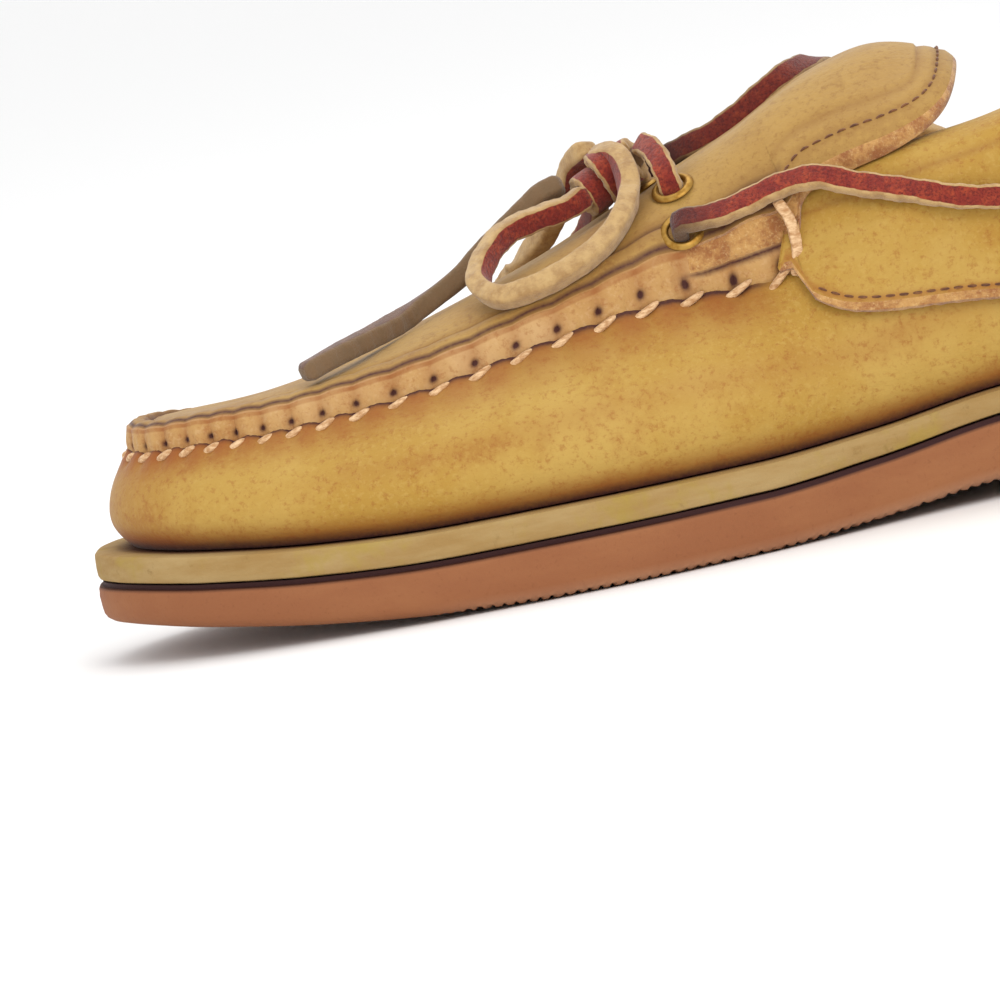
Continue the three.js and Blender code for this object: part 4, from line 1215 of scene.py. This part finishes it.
def make_quarter():
    form, order = quarter_columns()
    wall = sizes().quarter_wall / MM
    at = form.stops.at[order]

    def cut(offset, drop):
        surface = form.surface(offset)[order]
        low = crossing(surface, lambda x, y: quarter_edge(x) + CLEARANCE)
        top = crossing(surface, lambda x, y: topline_at(x, y, drop))
        top = np.where(at < SEAM_END, np.minimum(top, form.shoulder_run(surface)), top)
        return surface, np.minimum(low, top - .4), top

    def topmost(offset, drop):
        surface, _, line = cut(offset, drop)
        return resampled(surface, line, line, 1)

    half = (CLEARANCE + wall + ROLL_PROUD + 2.2) / 2
    middle = CLEARANCE + wall + ROLL_PROUD - half
    outer, low, top = cut(CLEARANCE + wall, ROLL_DEPTH)
    height = np.maximum(top - low, .3)
    edge_steps = (0, .35, .8, 1.25, 1.6, 1.85, 2.2, 2.6, 3.1, 3.8)
    runs = [low + np.minimum(step, height * (.02 + .05 * k)) for k, step in enumerate(edge_steps)]
    start = runs[-1]
    runs += [start + (top - start) * share for share in np.linspace(0, 1, 17)[1:]]
    rows = [resampled(outer, run, run, 1) for run in runs]
    rows += [topmost(CLEARANCE + wall + proud, drop)
             for drop, proud in ((ROLL_DEPTH - .8, .05), (ROLL_DEPTH - 1.6, .2), (half + .6, ROLL_PROUD))]
    rows += [topmost(middle + half * math.cos(angle), half - half * math.sin(angle) + .02)
             for angle in np.linspace(0, math.pi, 9)]
    outside_rows = len(rows)
    rows += [topmost(-2.2, ROLL_DEPTH / 2 - .1), topmost(CLEARANCE, ROLL_DEPTH / 2 - .1)]
    surface, low_in, top_in = cut(CLEARANCE, ROLL_DEPTH / 2 + .1)
    rows.append(resampled(surface, low_in, top_in, 8)[:, ::-1])
    lower, inner = rows[0][:, 0], rows[-1][:, -1]
    fuzz = np.random.default_rng(3).uniform(-1, 1, len(order))
    for t in (.75, .5, .25):
        edge = lower * (1 - t) + inner * t
        edge[:, 2] -= (.55 + .12 * fuzz) * math.sin(math.pi * t)
        rows.append(edge[:, None])
    loops = np.concatenate(rows, 1)
    count = loops.shape[1]
    faces, row = loft(loops, False)
    raw_rows = [r < 4 or r >= count - 5 for r in row]
    slots = [1 if raw else 0 if r < outside_rows else 2 for r, raw in zip(row, raw_rows)]
    above = loops[..., 2] - quarter_edge(loops[..., 0])
    below_top = topline_at(loops[..., 0], loops[..., 1]) - loops[..., 2]
    low_part = (QUARTER_EDGE.read("height", at) < .02)[:, None]
    # Painted shade: darker along the stitch line, under the roll of the topline and near the sole, darkest at its
    # foot
    stain = .65 * hump(above, 2.4, .9) + .3 * hump(below_top, ROLL_DEPTH, .9)
    stain = stain + .5 * low_part * (1 - smooth(above, 1.5, 6))
    burn = .12 * hump(below_top, ROLL_DEPTH - .2, .5) + .8 * low_part * (1 - smooth(above, .2, 2.2))
    outside = np.arange(count) < outside_rows
    piece = new_object("quarter_leather", loops.reshape(-1, 3), faces,
                       [FINISHES["leather"], FINISHES["raw"], FINISHES["lining"]], slots, grid_uvs(loops),
                       {"stain": stain * outside, "burn": burn * outside})
    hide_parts("quarter")


# ---------------------------------------------------------------- stitches
def bean():
    """One stitch of unit length along X: plump in its middle and tucked in at its ends."""
    bpy.ops.object.select_all(action="DESELECT")
    bpy.ops.mesh.primitive_uv_sphere_add(segments=10, ring_count=8, radius=0.5, rotation=(0, math.pi / 2, 0))
    source = bpy.context.active_object
    bpy.ops.object.transform_apply(location=True, rotation=True, scale=True)
    points = np.array([v.co[:] for v in source.data.vertices])
    faces = [tuple(p.vertices) for p in source.data.polygons]
    bpy.data.objects.remove(source)
    plump = np.sqrt(np.clip(1 - (2 * np.abs(points[:, 0])) ** 3, 0, 1))
    width = np.hypot(points[:, 1], points[:, 2])
    points[:, 1:] *= np.where(width > 1e-6, .5 * plump / np.maximum(width, 1e-6), 0)[:, None]
    return points, faces


def stitch_row(name, stitches, material):
    """Stitches given by start, end, outward direction, width and depth, joined in one mesh."""
    points, faces = bean()
    all_points, all_faces = [], []
    for start, end, out, width, depth in stitches:
        along = end - start
        size = np.linalg.norm(along)
        along = along / size
        across = unit(np.cross(out, along))
        up = np.cross(along, across)
        sag = (1 - (2 * points[:, 0]) ** 2) * depth * .35
        body = ((start + end) / 2 + points[:, :1] * size * along + points[:, 1:2] * width * across
                + (points[:, 2:3] * depth + sag[:, None]) * up)
        offset = len(all_points) * len(points)
        all_points.append(body)
        all_faces += [tuple(v + offset for v in face) for face in faces]
    piece = new_object(name, np.concatenate(all_points), all_faces, [material], smooth_angle=180)


def make_seam_stitches():
    thread = sizes().thread / MM
    run, passed = seam_scale()
    edge = plug_edge()
    stitches = []
    for side in (-1, 1):
        count = int(np.interp(edge.seam_length(side), run, passed)) + 1
        # The stitch at the toe tip belongs to both sides and is made once
        for k in range(0 if side < 0 else 1, count):
            start, end = (np.interp(max(.02, k + share), passed, run) for share in (-.46, .36))
            low, out = edge.seam_point(start, side, -.1, .9)
            high, _ = edge.seam_point(end, side, .2, 1.25)
            stitches.append((low, high, out, thread, thread * 1.1))
    stitch_row("toe_seam_thread", stitches, FINISHES["thread"])


def make_end_thread():
    """The thick thread that ties off the toe seam, wrapped round the band's end on both sides."""
    edge = plug_edge()
    tree = plug_tree()
    for side, label in ((-1, "inner"), (1, "outer")):
        last = edge.seam_length(side)
        points, outs = [], []
        for rise, back in ((.04, 2.6), (.2, 1.6), (.5, 1.4), (.85, 1.9), (1.0, 2.6)):
            point, out = edge.seam_point(last - back, side, rise, 1.5)
            points.append(point)
            outs.append(out)
        top = points[-1] + np.array([-.6, -side * 2.2, 0])
        top[2] = (height_on(tree, top[0], top[1]) or top[2]) - .6
        points.append(top)
        outs.append(np.array([0, 0, 1.0]))
        path = through(points, 36)
        outs = np.array([outs[int(k)] for k in np.linspace(0, len(outs) - 1, len(path))])
        strap("end_thread_" + label, path, outs, FINISHES["thread"], width=2.1, thickness=1.7)


def dashes(points, normals, lift):
    """Machine stitches along a line."""
    pitch, thread = sizes().fine_pitch / MM, sizes().fine_thread / MM
    run = running(points)

    def read(values, place):
        return np.array([np.interp(place, run, values[:, c]) for c in range(3)])

    result = []
    for k in range(int(run[-1] / pitch)):
        normal = unit(read(normals, k * pitch))
        start, end = (read(points, (k + share) * pitch) + normal * lift for share in (0, .72))
        result.append((start, end, normal, thread, thread))
    return result


def make_fine_stitches():
    form, order = quarter_columns()
    surface = form.surface(CLEARANCE + sizes().quarter_wall / MM)[order]
    normals = form.normals[order][:, 12]
    at = form.stops.at[order]
    shown = (at > .49) & (QUARTER_EDGE.read("height", at) > .03)
    low = crossing(surface, lambda x, y: quarter_edge(x) + CLEARANCE + 2.4)
    line = resampled(surface, low, low, 1)[:, 0]
    stitches = []
    for side in (-1, 1):
        use = shown & (form.stops.side[order] == side)
        stitches += dashes(line[use], normals[use], -.05)
    # Stitch line inside the flap's edge
    edge = plug_edge()
    tree = plug_tree()
    flap = np.nonzero(edge.seam < .3)[0]
    inset = edge.plan[flap] - edge.outward[flap] * 2.6
    path = np.array([(x, y, height_on(tree, x, y) or z) for (x, y), z in zip(inset, edge.high[flap])])
    stitches += dashes(path, np.repeat([[0, 0, 1.0]], len(path), 0), -.15)
    stitch_row("fine_thread_rows", stitches, FINISHES["fine_thread"])


# ---------------------------------------------------------------- lace, eyelets and bow
EYELETS = [
    ("eyelet_inner_low", .407, -1, 36), ("eyelet_inner_high", .407, -1, 57),
    ("eyelet_outer_high", .388, 1, 88), ("eyelet_outer_low", .4, 1, 68),
]
INNER_RUN = Table("at turn seat lift", [
    (.407, 36, 0, 1.15), (.42, 36, 0, 1.05), (.435, 36.5, 0, .74), (.455, 38, 0, .72), (.472, 39, 0, .8),
    (.498, 37.5, .1, .72), (.522, 31.5, .8, .95), (.55, 24.5, 1, .85), (.58, 19.5, 1, .82), (.61, 16, 1, .75),
    (.68, 10, 1, .65), (.74, 5, 1, .65), (.77, 3, 1, .65), (.788, 2.4, 1, .02)])
OUTER_RUN = Table("at turn seat lift", [
    (.4, 68, 0, 1.1), (.415, 73, 0, .96), (.435, 79, 0, .7), (.465, 83, 0, .65), (.492, 83.5, 0, .72),
    (.51, 75, 0, .78), (.527, 60, 0, .75), (.545, 43, 0, .75), (.563, 30, .7, 1.15), (.59, 20, 1, 1.12),
    (.615, 15.5, 1, .85), (.645, 12.5, 1, .72), (.69, 10, 1, .65), (.74, 6, 1, .65), (.77, 4, 1, .65),
    (.788, 3.4, 1, .02)])
# Routes listed in millimetres from the toe tip. The first point of the crossing is inside its eyelet.
ROUTES = {
    "lace_crossing": [
        (122.6, -15.6, 64.6), (121.7, -17.7, 69.3), (121.2, -16.8, 71.9), (120.4, -13.6, 74.7),
        (119.2, -9.9, 76.4), (117.6, -6.4, 76.9)],
    "far_bar": [
        (117.4, 1.2, 63.8), (116.9, 1.2, 68.6), (116.2, .9, 71.6), (114.8, .2, 73.4), (112.8, -.6, 74.2)],
    "bow_near_loop": [
        (108.4, -3.4, 74.6), (111.2, -6.4, 76.2), (113.4, -10, 75), (114.1, -13.6, 72.2), (113.9, -16.8, 69.2),
        (112.4, -21.7, 66.4), (107.8, -27, 62), (100.8, -31, 58.6),
        (92.5, -31.8, 56.2), (85.9, -29.8, 55.6), (82.6, -24.6, 58.2), (84.4, -19.2, 62), (89, -14.5, 65.7),
        (95.5, -11.5, 67.2), (102, -9.4, 68), (106.4, -7.2, 69.6)],
    "bow_near_end": [
        (102, -2.6, 72), (98, -2.4, 71), (94.2, -2.8, 68.7), (86.8, -4, 63.9), (79.4, -5.4, 58.8),
        (68.6, -9.8, 54), (62, -15.8, 52.2), (53.8, -22, 50.4), (46.7, -26, 48.4)],
    "bow_far_loop": [
        (108.6, 2, 77.4), (106, 5, 75.8), (103.5, 8.5, 72), (100.5, 13, 66.5), (96, 18.5, 60.8), (91, 24.4, 55.6),
        (87.5, 29, 51.7), (89, 32.8, 50.2), (95, 33.4, 51.2), (101, 31, 54.9), (105.5, 24.8, 60),
        (107.5, 17, 64.4), (108, 10, 67.8), (108.4, 5.2, 69.4)],
    "bow_far_end": [
        (113.6, 4.9, 71), (113.8, 9.4, 69.8), (114.2, 15.6, 66.8), (116, 22.8, 63.8), (119.5, 28.6, 60),
        (124, 33.2, 58), (130, 35.8, 56.6), (137, 37.8, 56.2)],
}
KNOT_MIDDLE = (110.8, -4, 71.8)
KNOT_TILT = 0.4


def on_form(tree, at, side, turn):
    """A point on the form and its normal, seen along a line that turns about the last's axis."""
    x = at * SHOE_LENGTH
    angle = math.radians(turn)
    outward = Vector((0, side * math.cos(angle), math.sin(angle)))
    middle = Vector((x, 0, float(sole_top(x)) + INSTEP_HEIGHT * AXIS_SHARE))
    point, normal, _, _ = tree.ray_cast(middle + outward * SHOE_LENGTH, -outward)
    return point, normal if normal.dot(outward) > 0 else -normal


def through(points, count):
    """A smooth curve through points, centripetal, cut into even steps."""
    points = np.asarray(points, float)
    ends = np.concatenate([[2 * points[0] - points[1]], points, [2 * points[-1] - points[-2]]])
    result = []
    for k in range(1, len(ends) - 2):
        p0, p1, p2, p3 = ends[k - 1:k + 3]
        t0 = 0
        t1 = t0 + np.linalg.norm(p1 - p0) ** .5
        t2 = t1 + np.linalg.norm(p2 - p1) ** .5
        t3 = t2 + np.linalg.norm(p3 - p2) ** .5
        for t in np.linspace(t1, t2, 12, endpoint=False):
            a1 = (t1 - t) / (t1 - t0) * p0 + (t - t0) / (t1 - t0) * p1
            a2 = (t2 - t) / (t2 - t1) * p1 + (t - t1) / (t2 - t1) * p2
            a3 = (t3 - t) / (t3 - t2) * p2 + (t - t2) / (t3 - t2) * p3
            b1 = (t2 - t) / (t2 - t0) * a1 + (t - t0) / (t2 - t0) * a2
            b2 = (t3 - t) / (t3 - t1) * a2 + (t - t1) / (t3 - t1) * a3
            result.append((t2 - t) / (t2 - t1) * b1 + (t - t1) / (t2 - t1) * b2)
    result.append(points[-1])
    result = np.array(result)
    run = running(result)
    even = np.linspace(0, run[-1], count)
    return np.stack([np.interp(even, run, result[:, c]) for c in range(3)], 1)


def strap_section(width, thickness, sides=20, softness=0.42):
    """A square-cut thong with soft corners. Returns points and how far each lies on the waxed face."""
    angle = np.linspace(0, 2 * math.pi, sides, endpoint=False) + math.pi / sides
    a = np.sign(np.cos(angle)) * np.abs(np.cos(angle)) ** softness * width / 2
    b = np.sign(np.sin(angle)) * np.abs(np.sin(angle)) ** softness * thickness / 2
    face = smooth(b / (thickness / 2), .35, .9) * (1 - smooth(np.abs(a) / (width / 2), .6, .9))
    return a, b, face


def strap(name, path, outs, material, width=None, thickness=None, burn=0.0):
    """A thong along a path. outs are the directions that its waxed face looks in, one for each path point."""
    width = width or sizes().lace_width / MM
    thickness = thickness or sizes().lace_thickness / MM
    a, b, face = strap_section(width, thickness)
    along = unit(np.gradient(path, axis=0))
    outs = unit(outs - along * np.sum(outs * along, 1)[:, None])
    across = np.cross(outs, along)
    step = np.arange(len(path))[:, None, None]
    wobble = 1 + .05 * np.sin(step * .9) + .03 * np.sin(step * 2.3 + 1)
    loops = path[:, None] + across[:, None] * a[None, :, None] * wobble + outs[:, None] * b[None, :, None]
    for end, shrink in ((0, .6), (1, .88), (-1, .6), (-2, .88)):
        loops[end] = path[end] + (loops[end] - path[end]) * shrink
    faces, _ = loft(loops, False)
    shares = np.repeat(face[None], len(path), 0)
    # Painted shade along the thong, one value for each path point or one for all
    dark = np.reshape(burn, (-1, 1)) * np.ones(shares.shape)
    piece = new_object(name, loops.reshape(-1, 3), faces, [material], uvs=grid_uvs(loops),
                       tones={"face": shares, "burn": dark}, smooth_angle=50)
    return piece


def ring_profile():
    """Half the section of an eyelet, radius and height: barrel, a flat flange below and a round one above."""
    hole, metal, rim = 2.5, .5, 4.3
    seat, under = .15, -sizes().plug_wall / MM - .15
    return [(hole, under - metal), (rim - .5, under - metal), (rim - .3, under - metal / 2), (rim - .4, under),
            (hole + metal, under), (hole + metal, seat), (rim - .1, seat), (rim, seat + .15),
            (rim - .15, seat + .45), (rim - .55, seat + .68), (rim - .9, seat + .8), (hole + .75, seat + .82),
            (hole + .35, seat + .66), (hole + .1, seat + .35), (hole, seat)]


def make_eyelets():
    tree = plug_tree()
    profile = ring_profile()
    edges = [(k, (k + 1) % len(profile)) for k in range(len(profile))]
    for name, at, side, turn in EYELETS:
        point, normal = on_form(tree, at, side, turn)
        mesh = bpy.data.meshes.new(name + "_ring")
        mesh.from_pydata([(radius * MM, 0, height * MM) for radius, height in profile], edges, [])
        mesh.materials.append(FINISHES["brass"])
        ring = bpy.data.objects.new(name + "_ring", mesh)
        bpy.context.collection.objects.link(ring)
        place = normal.to_track_quat("Z", "Y").to_matrix().to_4x4()
        place.translation = (Vector(point) + Vector(SHIFT)) * MM
        pick_alone(ring)
        bpy.ops.object.mode_set(mode="EDIT")
        bpy.ops.mesh.select_all(action="SELECT")
        bpy.ops.mesh.spin(steps=40, angle=2 * math.pi, center=(0, 0, 0), axis=(0, 0, 1))
        bpy.ops.mesh.select_all(action="SELECT")
        bpy.ops.mesh.remove_doubles(threshold=MERGE)
        bpy.ops.mesh.normals_make_consistent(inside=False)
        bpy.ops.object.mode_set(mode="OBJECT")
        ring.matrix_world = place
        bpy.ops.object.transform_apply(location=True, rotation=True, scale=True)
        bpy.ops.object.shade_smooth_by_angle(angle=math.radians(50))
        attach(ring, "root")
        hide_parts(name)


def run_path(table, side):
    """Places of a lace run on the plug and the quarter, and the directions that its face looks in."""
    plug = plug_tree()
    quarter = upper().tree(CLEARANCE + sizes().quarter_wall / MM)
    thickness = sizes().lace_thickness / MM
    points, outs = [], []
    for at in table.at:
        turn, seat, lift = (float(table.read(column, at)) for column in ("turn", "seat", "lift"))
        low, low_normal = on_form(plug, at, side, turn)
        high, high_normal = on_form(quarter, at, side, turn)
        normal = low_normal.lerp(high_normal, seat).normalized()
        points.append(low.lerp(high, seat) + normal * (lift * thickness))
        outs.append(normal)
    return np.array([list(p) for p in points]), np.array([list(o) for o in outs])


def make_lace_runs():
    for name, table, side in (("lace_inner", INNER_RUN, -1), ("lace_outer", OUTER_RUN, 1)):
        points, outs = run_path(table, side)
        # The thong comes up out of its eyelet and goes down into its slot
        first = points[0] - outs[0] * 5.2 + np.array([-.3, 0, 0])
        last = points[-1] - outs[-1] * 1.6 + np.array([2.2, 0, 0])
        points = np.concatenate([[first], points, [last]])
        outs = np.concatenate([[outs[0] * .2 + np.array([-1, 0, 0])], outs, outs[-1:]])
        path = through(points, 150)
        share = running(path) / running(path)[-1]
        looks = np.array([outs[np.argmin(np.sum((points - p) ** 2, 1))] for p in path])
        # Painted shade where the thong comes up out of its eyelet
        burn = .95 * (1 - smooth(share, .02, .13))
        if side > 0:
            # Over the tongue the outer run lies lower and turns its face to the inner side
            at = path[:, 0] / SHOE_LENGTH
            near = 1 - smooth(at, .5, .53)
            path[:, 2] -= .9 * near * smooth(at, .42, .45)
            looks = looks * (1 - near[:, None]) + np.array([0, -1, .35]) * near[:, None]
            # Painted shade on the outer run's first part, where it lies low over the tongue
            burn = burn + .45 * (1 - smooth(share, .3, .45))
        for _ in range(24):
            looks[1:-1] = (looks[:-2] + looks[1:-1] + looks[2:]) / 3
        piece = strap(name, path, looks, FINISHES["lace"], burn=burn)
        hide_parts(name + "_run")
    path = through(ROUTES["lace_crossing"], 40)
    outs = np.repeat([[-.2, -.75, .4]], len(path), 0)
    piece = strap("lace_bar", path, outs, FINISHES["lace"], width=4.4, thickness=2.6)
    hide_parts("lace_crossing")
    path = through(ROUTES["far_bar"], 24)
    outs = np.repeat([[0, .3, 1.0]], len(path), 0)
    strap("lace_far_bar", path, outs, FINISHES["lace"], width=4.2, thickness=2.4)


def make_bow():
    knot = make_knot()
    width = sizes().lace_width
    for name in ("bow_near_loop", "bow_near_end", "bow_far_loop", "bow_far_end"):
        path = through(ROUTES[name], 110)
        looped = name.endswith("loop")
        if looped:
            outs = unit(path.mean(0) - path) + np.array([0, -.45, .1])
        else:
            outs = np.repeat([[.5, .35, 1.0]], len(path), 0)
        material = FINISHES["lace" if looped else "lace_end"]
        piece = strap(name + "_lace", path, outs, material, width=width / MM, thickness=4.0)
        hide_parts(name)


# Turns of the knot: offset, reach and rise, lean, tilt and where the turn starts
WRAPS = [
    ("knot_wrap", (.3, 0, .4), (5.4, 4.1), .1, -.25, 1.5),
    ("knot_left", (-4.2, .4, -.6), (3.9, 3.0), .26, 0, -1.1),
    ("knot_right", (4.3, -.6, .2), (3.7, 3.0), -.26, .25, 1.9),
]


def make_knot():
    """Turns of the thong round a core: each turn is an ellipse about the knot's middle."""
    centre = np.array(KNOT_MIDDLE)
    knot_turn = Matrix.Rotation(-KNOT_TILT, 3, "Y")
    core = np.array([centre + np.array(knot_turn @ Vector((x, 0, 0))) for x in np.linspace(-7.2, 7.2, 12)])
    up = np.repeat([[0, 0, 1.0]], len(core), 0)
    # The core is painted dark as shade inside the knot
    pieces = [strap("knot_core", core, up, FINISHES["lace"], width=7, thickness=5, burn=.75)]
    for name, offset, (reach, rise), lean, tilt, spin in WRAPS:
        plane = Matrix.Rotation(lean, 3, "Z") @ Matrix.Rotation(tilt, 3, "X")
        path, outs = [], []
        for angle in np.linspace(0, 2 * math.pi, 61) + spin:
            flat = Vector((0, math.cos(angle), math.sin(angle)))
            local = Vector((0, reach * flat.y, rise * flat.z))
            path.append(centre + np.array(knot_turn @ (Vector(offset) + plane @ local)))
            outs.append(np.array(knot_turn @ (plane @ Vector((0, flat.y / reach, flat.z / rise)))))
        pieces.append(strap(name, np.array(path), np.array(outs), FINISHES["lace"], width=4.6, thickness=2.8))
    bpy.ops.object.select_all(action="DESELECT")
    for piece in pieces:
        piece.select_set(True)
    bpy.context.view_layer.objects.active = pieces[0]
    bpy.ops.object.join()
    knot = bpy.context.active_object
    knot.name = "bow_knot_lace"
    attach(knot, "root")
    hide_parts("bow_knot")
    return knot


# ---------------------------------------------------------------- camera, light and floor
def make_camera():
    """The photograph's view: level with the sole, a little from above, rolled so that the heel rises."""
    roll, tip = math.radians(11.5), math.radians(6)
    target = Vector((-0.0717, -0.030, 0.0179))
    picture_width = 0.1887
    look = Vector((0, math.cos(tip), -math.sin(tip)))
    upright = Vector((0, math.sin(tip), math.cos(tip)))
    right = Vector((1, 0, 0)) * math.cos(roll) - upright * math.sin(roll)
    up = Vector((1, 0, 0)) * math.sin(roll) + upright * math.cos(roll)
    data = bpy.data.cameras.new("photo_camera")
    data.lens, data.sensor_width = 400, 36
    data.clip_end = 50
    distance = picture_width * data.lens / data.sensor_width
    camera = bpy.data.objects.new("photo_camera", data)
    place = Matrix((right, up, -look)).transposed().to_4x4()
    place.translation = target - look * distance
    camera.matrix_world = place
    bpy.context.collection.objects.link(camera)
    bpy.context.scene.camera = camera


def make_light(name, place, size, power, tint=(1, 1, 1)):
    """A round soft light that looks at the middle of the shoe."""
    aim = (0, 0, 0.04)
    data = bpy.data.lights.new(name, "AREA")
    data.shape, data.size, data.energy, data.color = "DISK", size, power, tint
    light = bpy.data.objects.new(name, data)
    light.location = place
    light.rotation_euler = (Vector(aim) - Vector(place)).to_track_quat("-Z", "Y").to_euler()
    bpy.context.collection.objects.link(light)


def make_stage():
    bpy.ops.object.select_all(action="DESELECT")
    bpy.ops.mesh.primitive_plane_add(size=8, location=(0, 0, -0.0002))
    floor = bpy.context.active_object
    floor.name = "floor"
    bpy.ops.object.transform_apply(location=True, rotation=True, scale=True)
    floor.data.materials.append(Finish("studio_floor").done(Base_Color=colours().floor, Roughness=0.6,
                                                            Specular_IOR_Level=0.1))
    world = bpy.context.scene.world or bpy.data.worlds.new("studio")
    bpy.context.scene.world = world
    world.use_nodes = True
    background = world.node_tree.nodes["Background"]
    background.inputs["Color"].default_value = (1, 1, 1, 1)
    background.inputs["Strength"].default_value = 1.0
    make_light("key", (0.3, -0.95, 0.7), 0.6, 4.5, (1, 0.98, 0.95))
    make_light("fill", (-0.8, -0.7, 0.3), 0.8, 1)
    make_light("top", (0, 0.3, 1.1), 0.9, 3)
    bpy.context.scene.view_settings.view_transform = "Standard"


# ---------------------------------------------------------------- operators
class SHOE_OT_camera(bpy.types.Operator):
    """Places the camera of the photograph"""
    bl_idname = "shoe.camera"
    bl_label = "Camera"
    bl_options = {"REGISTER", "UNDO"}

    def execute(self, context):
        make_camera()
        return {"FINISHED"}


class SHOE_OT_finishes(bpy.types.Operator):
    """Makes the finishes of leather, rubber, thread and brass"""
    bl_idname = "shoe.finishes"
    bl_label = "Finishes"
    bl_options = {"REGISTER", "UNDO"}

    def execute(self, context):
        make_finishes()
        return {"FINISHED"}


class SHOE_OT_outsole(bpy.types.Operator):
    """Makes the siped rubber outsole"""
    bl_idname = "shoe.outsole"
    bl_label = "Outsole"
    bl_options = {"REGISTER", "UNDO"}

    def execute(self, context):
        make_outsole()
        return {"FINISHED"}


class SHOE_OT_midsole(bpy.types.Operator):
    """Makes the cream midsole"""
    bl_idname = "shoe.midsole"
    bl_label = "Midsole"
    bl_options = {"REGISTER", "UNDO"}

    def execute(self, context):
        make_midsole()
        return {"FINISHED"}


class SHOE_OT_vamp(bpy.types.Operator):
    """Makes the gathered vamp"""
    bl_idname = "shoe.vamp"
    bl_label = "Vamp"
    bl_options = {"REGISTER", "UNDO"}

    def execute(self, context):
        make_vamp()
        return {"FINISHED"}


class SHOE_OT_plug(bpy.types.Operator):
    """Makes the plug with its pleated band and flap"""
    bl_idname = "shoe.plug"
    bl_label = "Plug"
    bl_options = {"REGISTER", "UNDO"}

    def execute(self, context):
        make_plug()
        return {"FINISHED"}


class SHOE_OT_quarter(bpy.types.Operator):
    """Makes the quarter with its rolled topline"""
    bl_idname = "shoe.quarter"
    bl_label = "Quarter"
    bl_options = {"REGISTER", "UNDO"}

    def execute(self, context):
        make_quarter()
        return {"FINISHED"}


class SHOE_OT_seam_stitches(bpy.types.Operator):
    """Sews the toe seam"""
    bl_idname = "shoe.seam_stitches"
    bl_label = "Seam Stitches"
    bl_options = {"REGISTER", "UNDO"}

    def execute(self, context):
        make_seam_stitches()
        return {"FINISHED"}


class SHOE_OT_end_thread(bpy.types.Operator):
    """Ties off the toe seam"""
    bl_idname = "shoe.end_thread"
    bl_label = "End Thread"
    bl_options = {"REGISTER", "UNDO"}

    def execute(self, context):
        make_end_thread()
        return {"FINISHED"}


class SHOE_OT_fine_stitches(bpy.types.Operator):
    """Sews the machine rows"""
    bl_idname = "shoe.fine_stitches"
    bl_label = "Fine Stitches"
    bl_options = {"REGISTER", "UNDO"}

    def execute(self, context):
        make_fine_stitches()
        return {"FINISHED"}


class SHOE_OT_eyelets(bpy.types.Operator):
    """Sets the brass eyelets"""
    bl_idname = "shoe.eyelets"
    bl_label = "Eyelets"
    bl_options = {"REGISTER", "UNDO"}

    def execute(self, context):
        make_eyelets()
        return {"FINISHED"}


class SHOE_OT_lace(bpy.types.Operator):
    """Lays the lace along the collar"""
    bl_idname = "shoe.lace"
    bl_label = "Lace"
    bl_options = {"REGISTER", "UNDO"}

    def execute(self, context):
        make_lace_runs()
        return {"FINISHED"}


class SHOE_OT_bow(bpy.types.Operator):
    """Ties the bow"""
    bl_idname = "shoe.bow"
    bl_label = "Bow"
    bl_options = {"REGISTER", "UNDO"}

    def execute(self, context):
        make_bow()
        return {"FINISHED"}


class SHOE_OT_stage(bpy.types.Operator):
    """Sets up the floor and the light"""
    bl_idname = "shoe.stage"
    bl_label = "Stage"
    bl_options = {"REGISTER", "UNDO"}

    def execute(self, context):
        make_stage()
        return {"FINISHED"}


OPERATORS = [
    SHOE_OT_camera, SHOE_OT_finishes, SHOE_OT_outsole, SHOE_OT_midsole,
    SHOE_OT_vamp, SHOE_OT_plug, SHOE_OT_quarter, SHOE_OT_seam_stitches,
    SHOE_OT_end_thread, SHOE_OT_fine_stitches, SHOE_OT_eyelets, SHOE_OT_lace,
    SHOE_OT_bow, SHOE_OT_stage,
]


class SHOE_PT_panel(bpy.types.Panel):
    bl_label = "Boat Shoe"
    bl_idname = "SHOE_PT_panel"
    bl_space_type = "VIEW_3D"
    bl_region_type = "UI"
    bl_category = "Shoe"

    def draw(self, context):
        for operator in OPERATORS:
            self.layout.operator(operator.bl_idname)


CLASSES = [ShoeSizes, ShoeColours, *OPERATORS, SHOE_PT_panel]


def register():
    for cls in CLASSES:
        bpy.utils.register_class(cls)
    bpy.types.Scene.shoe_sizes = bpy.props.PointerProperty(type=ShoeSizes)
    bpy.types.Scene.shoe_colours = bpy.props.PointerProperty(type=ShoeColours)


def unregister():
    del bpy.types.Scene.shoe_sizes, bpy.types.Scene.shoe_colours
    for cls in reversed(CLASSES):
        bpy.utils.unregister_class(cls)


def main():
    register()
    for operator in OPERATORS:
        group, label = operator.bl_idname.split(".")
        getattr(getattr(bpy.ops, group), label)()
    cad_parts["insole"].data.materials.clear()
    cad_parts["insole"].data.materials.append(FINISHES["lining"])


if __name__ == "__main__":
    main()
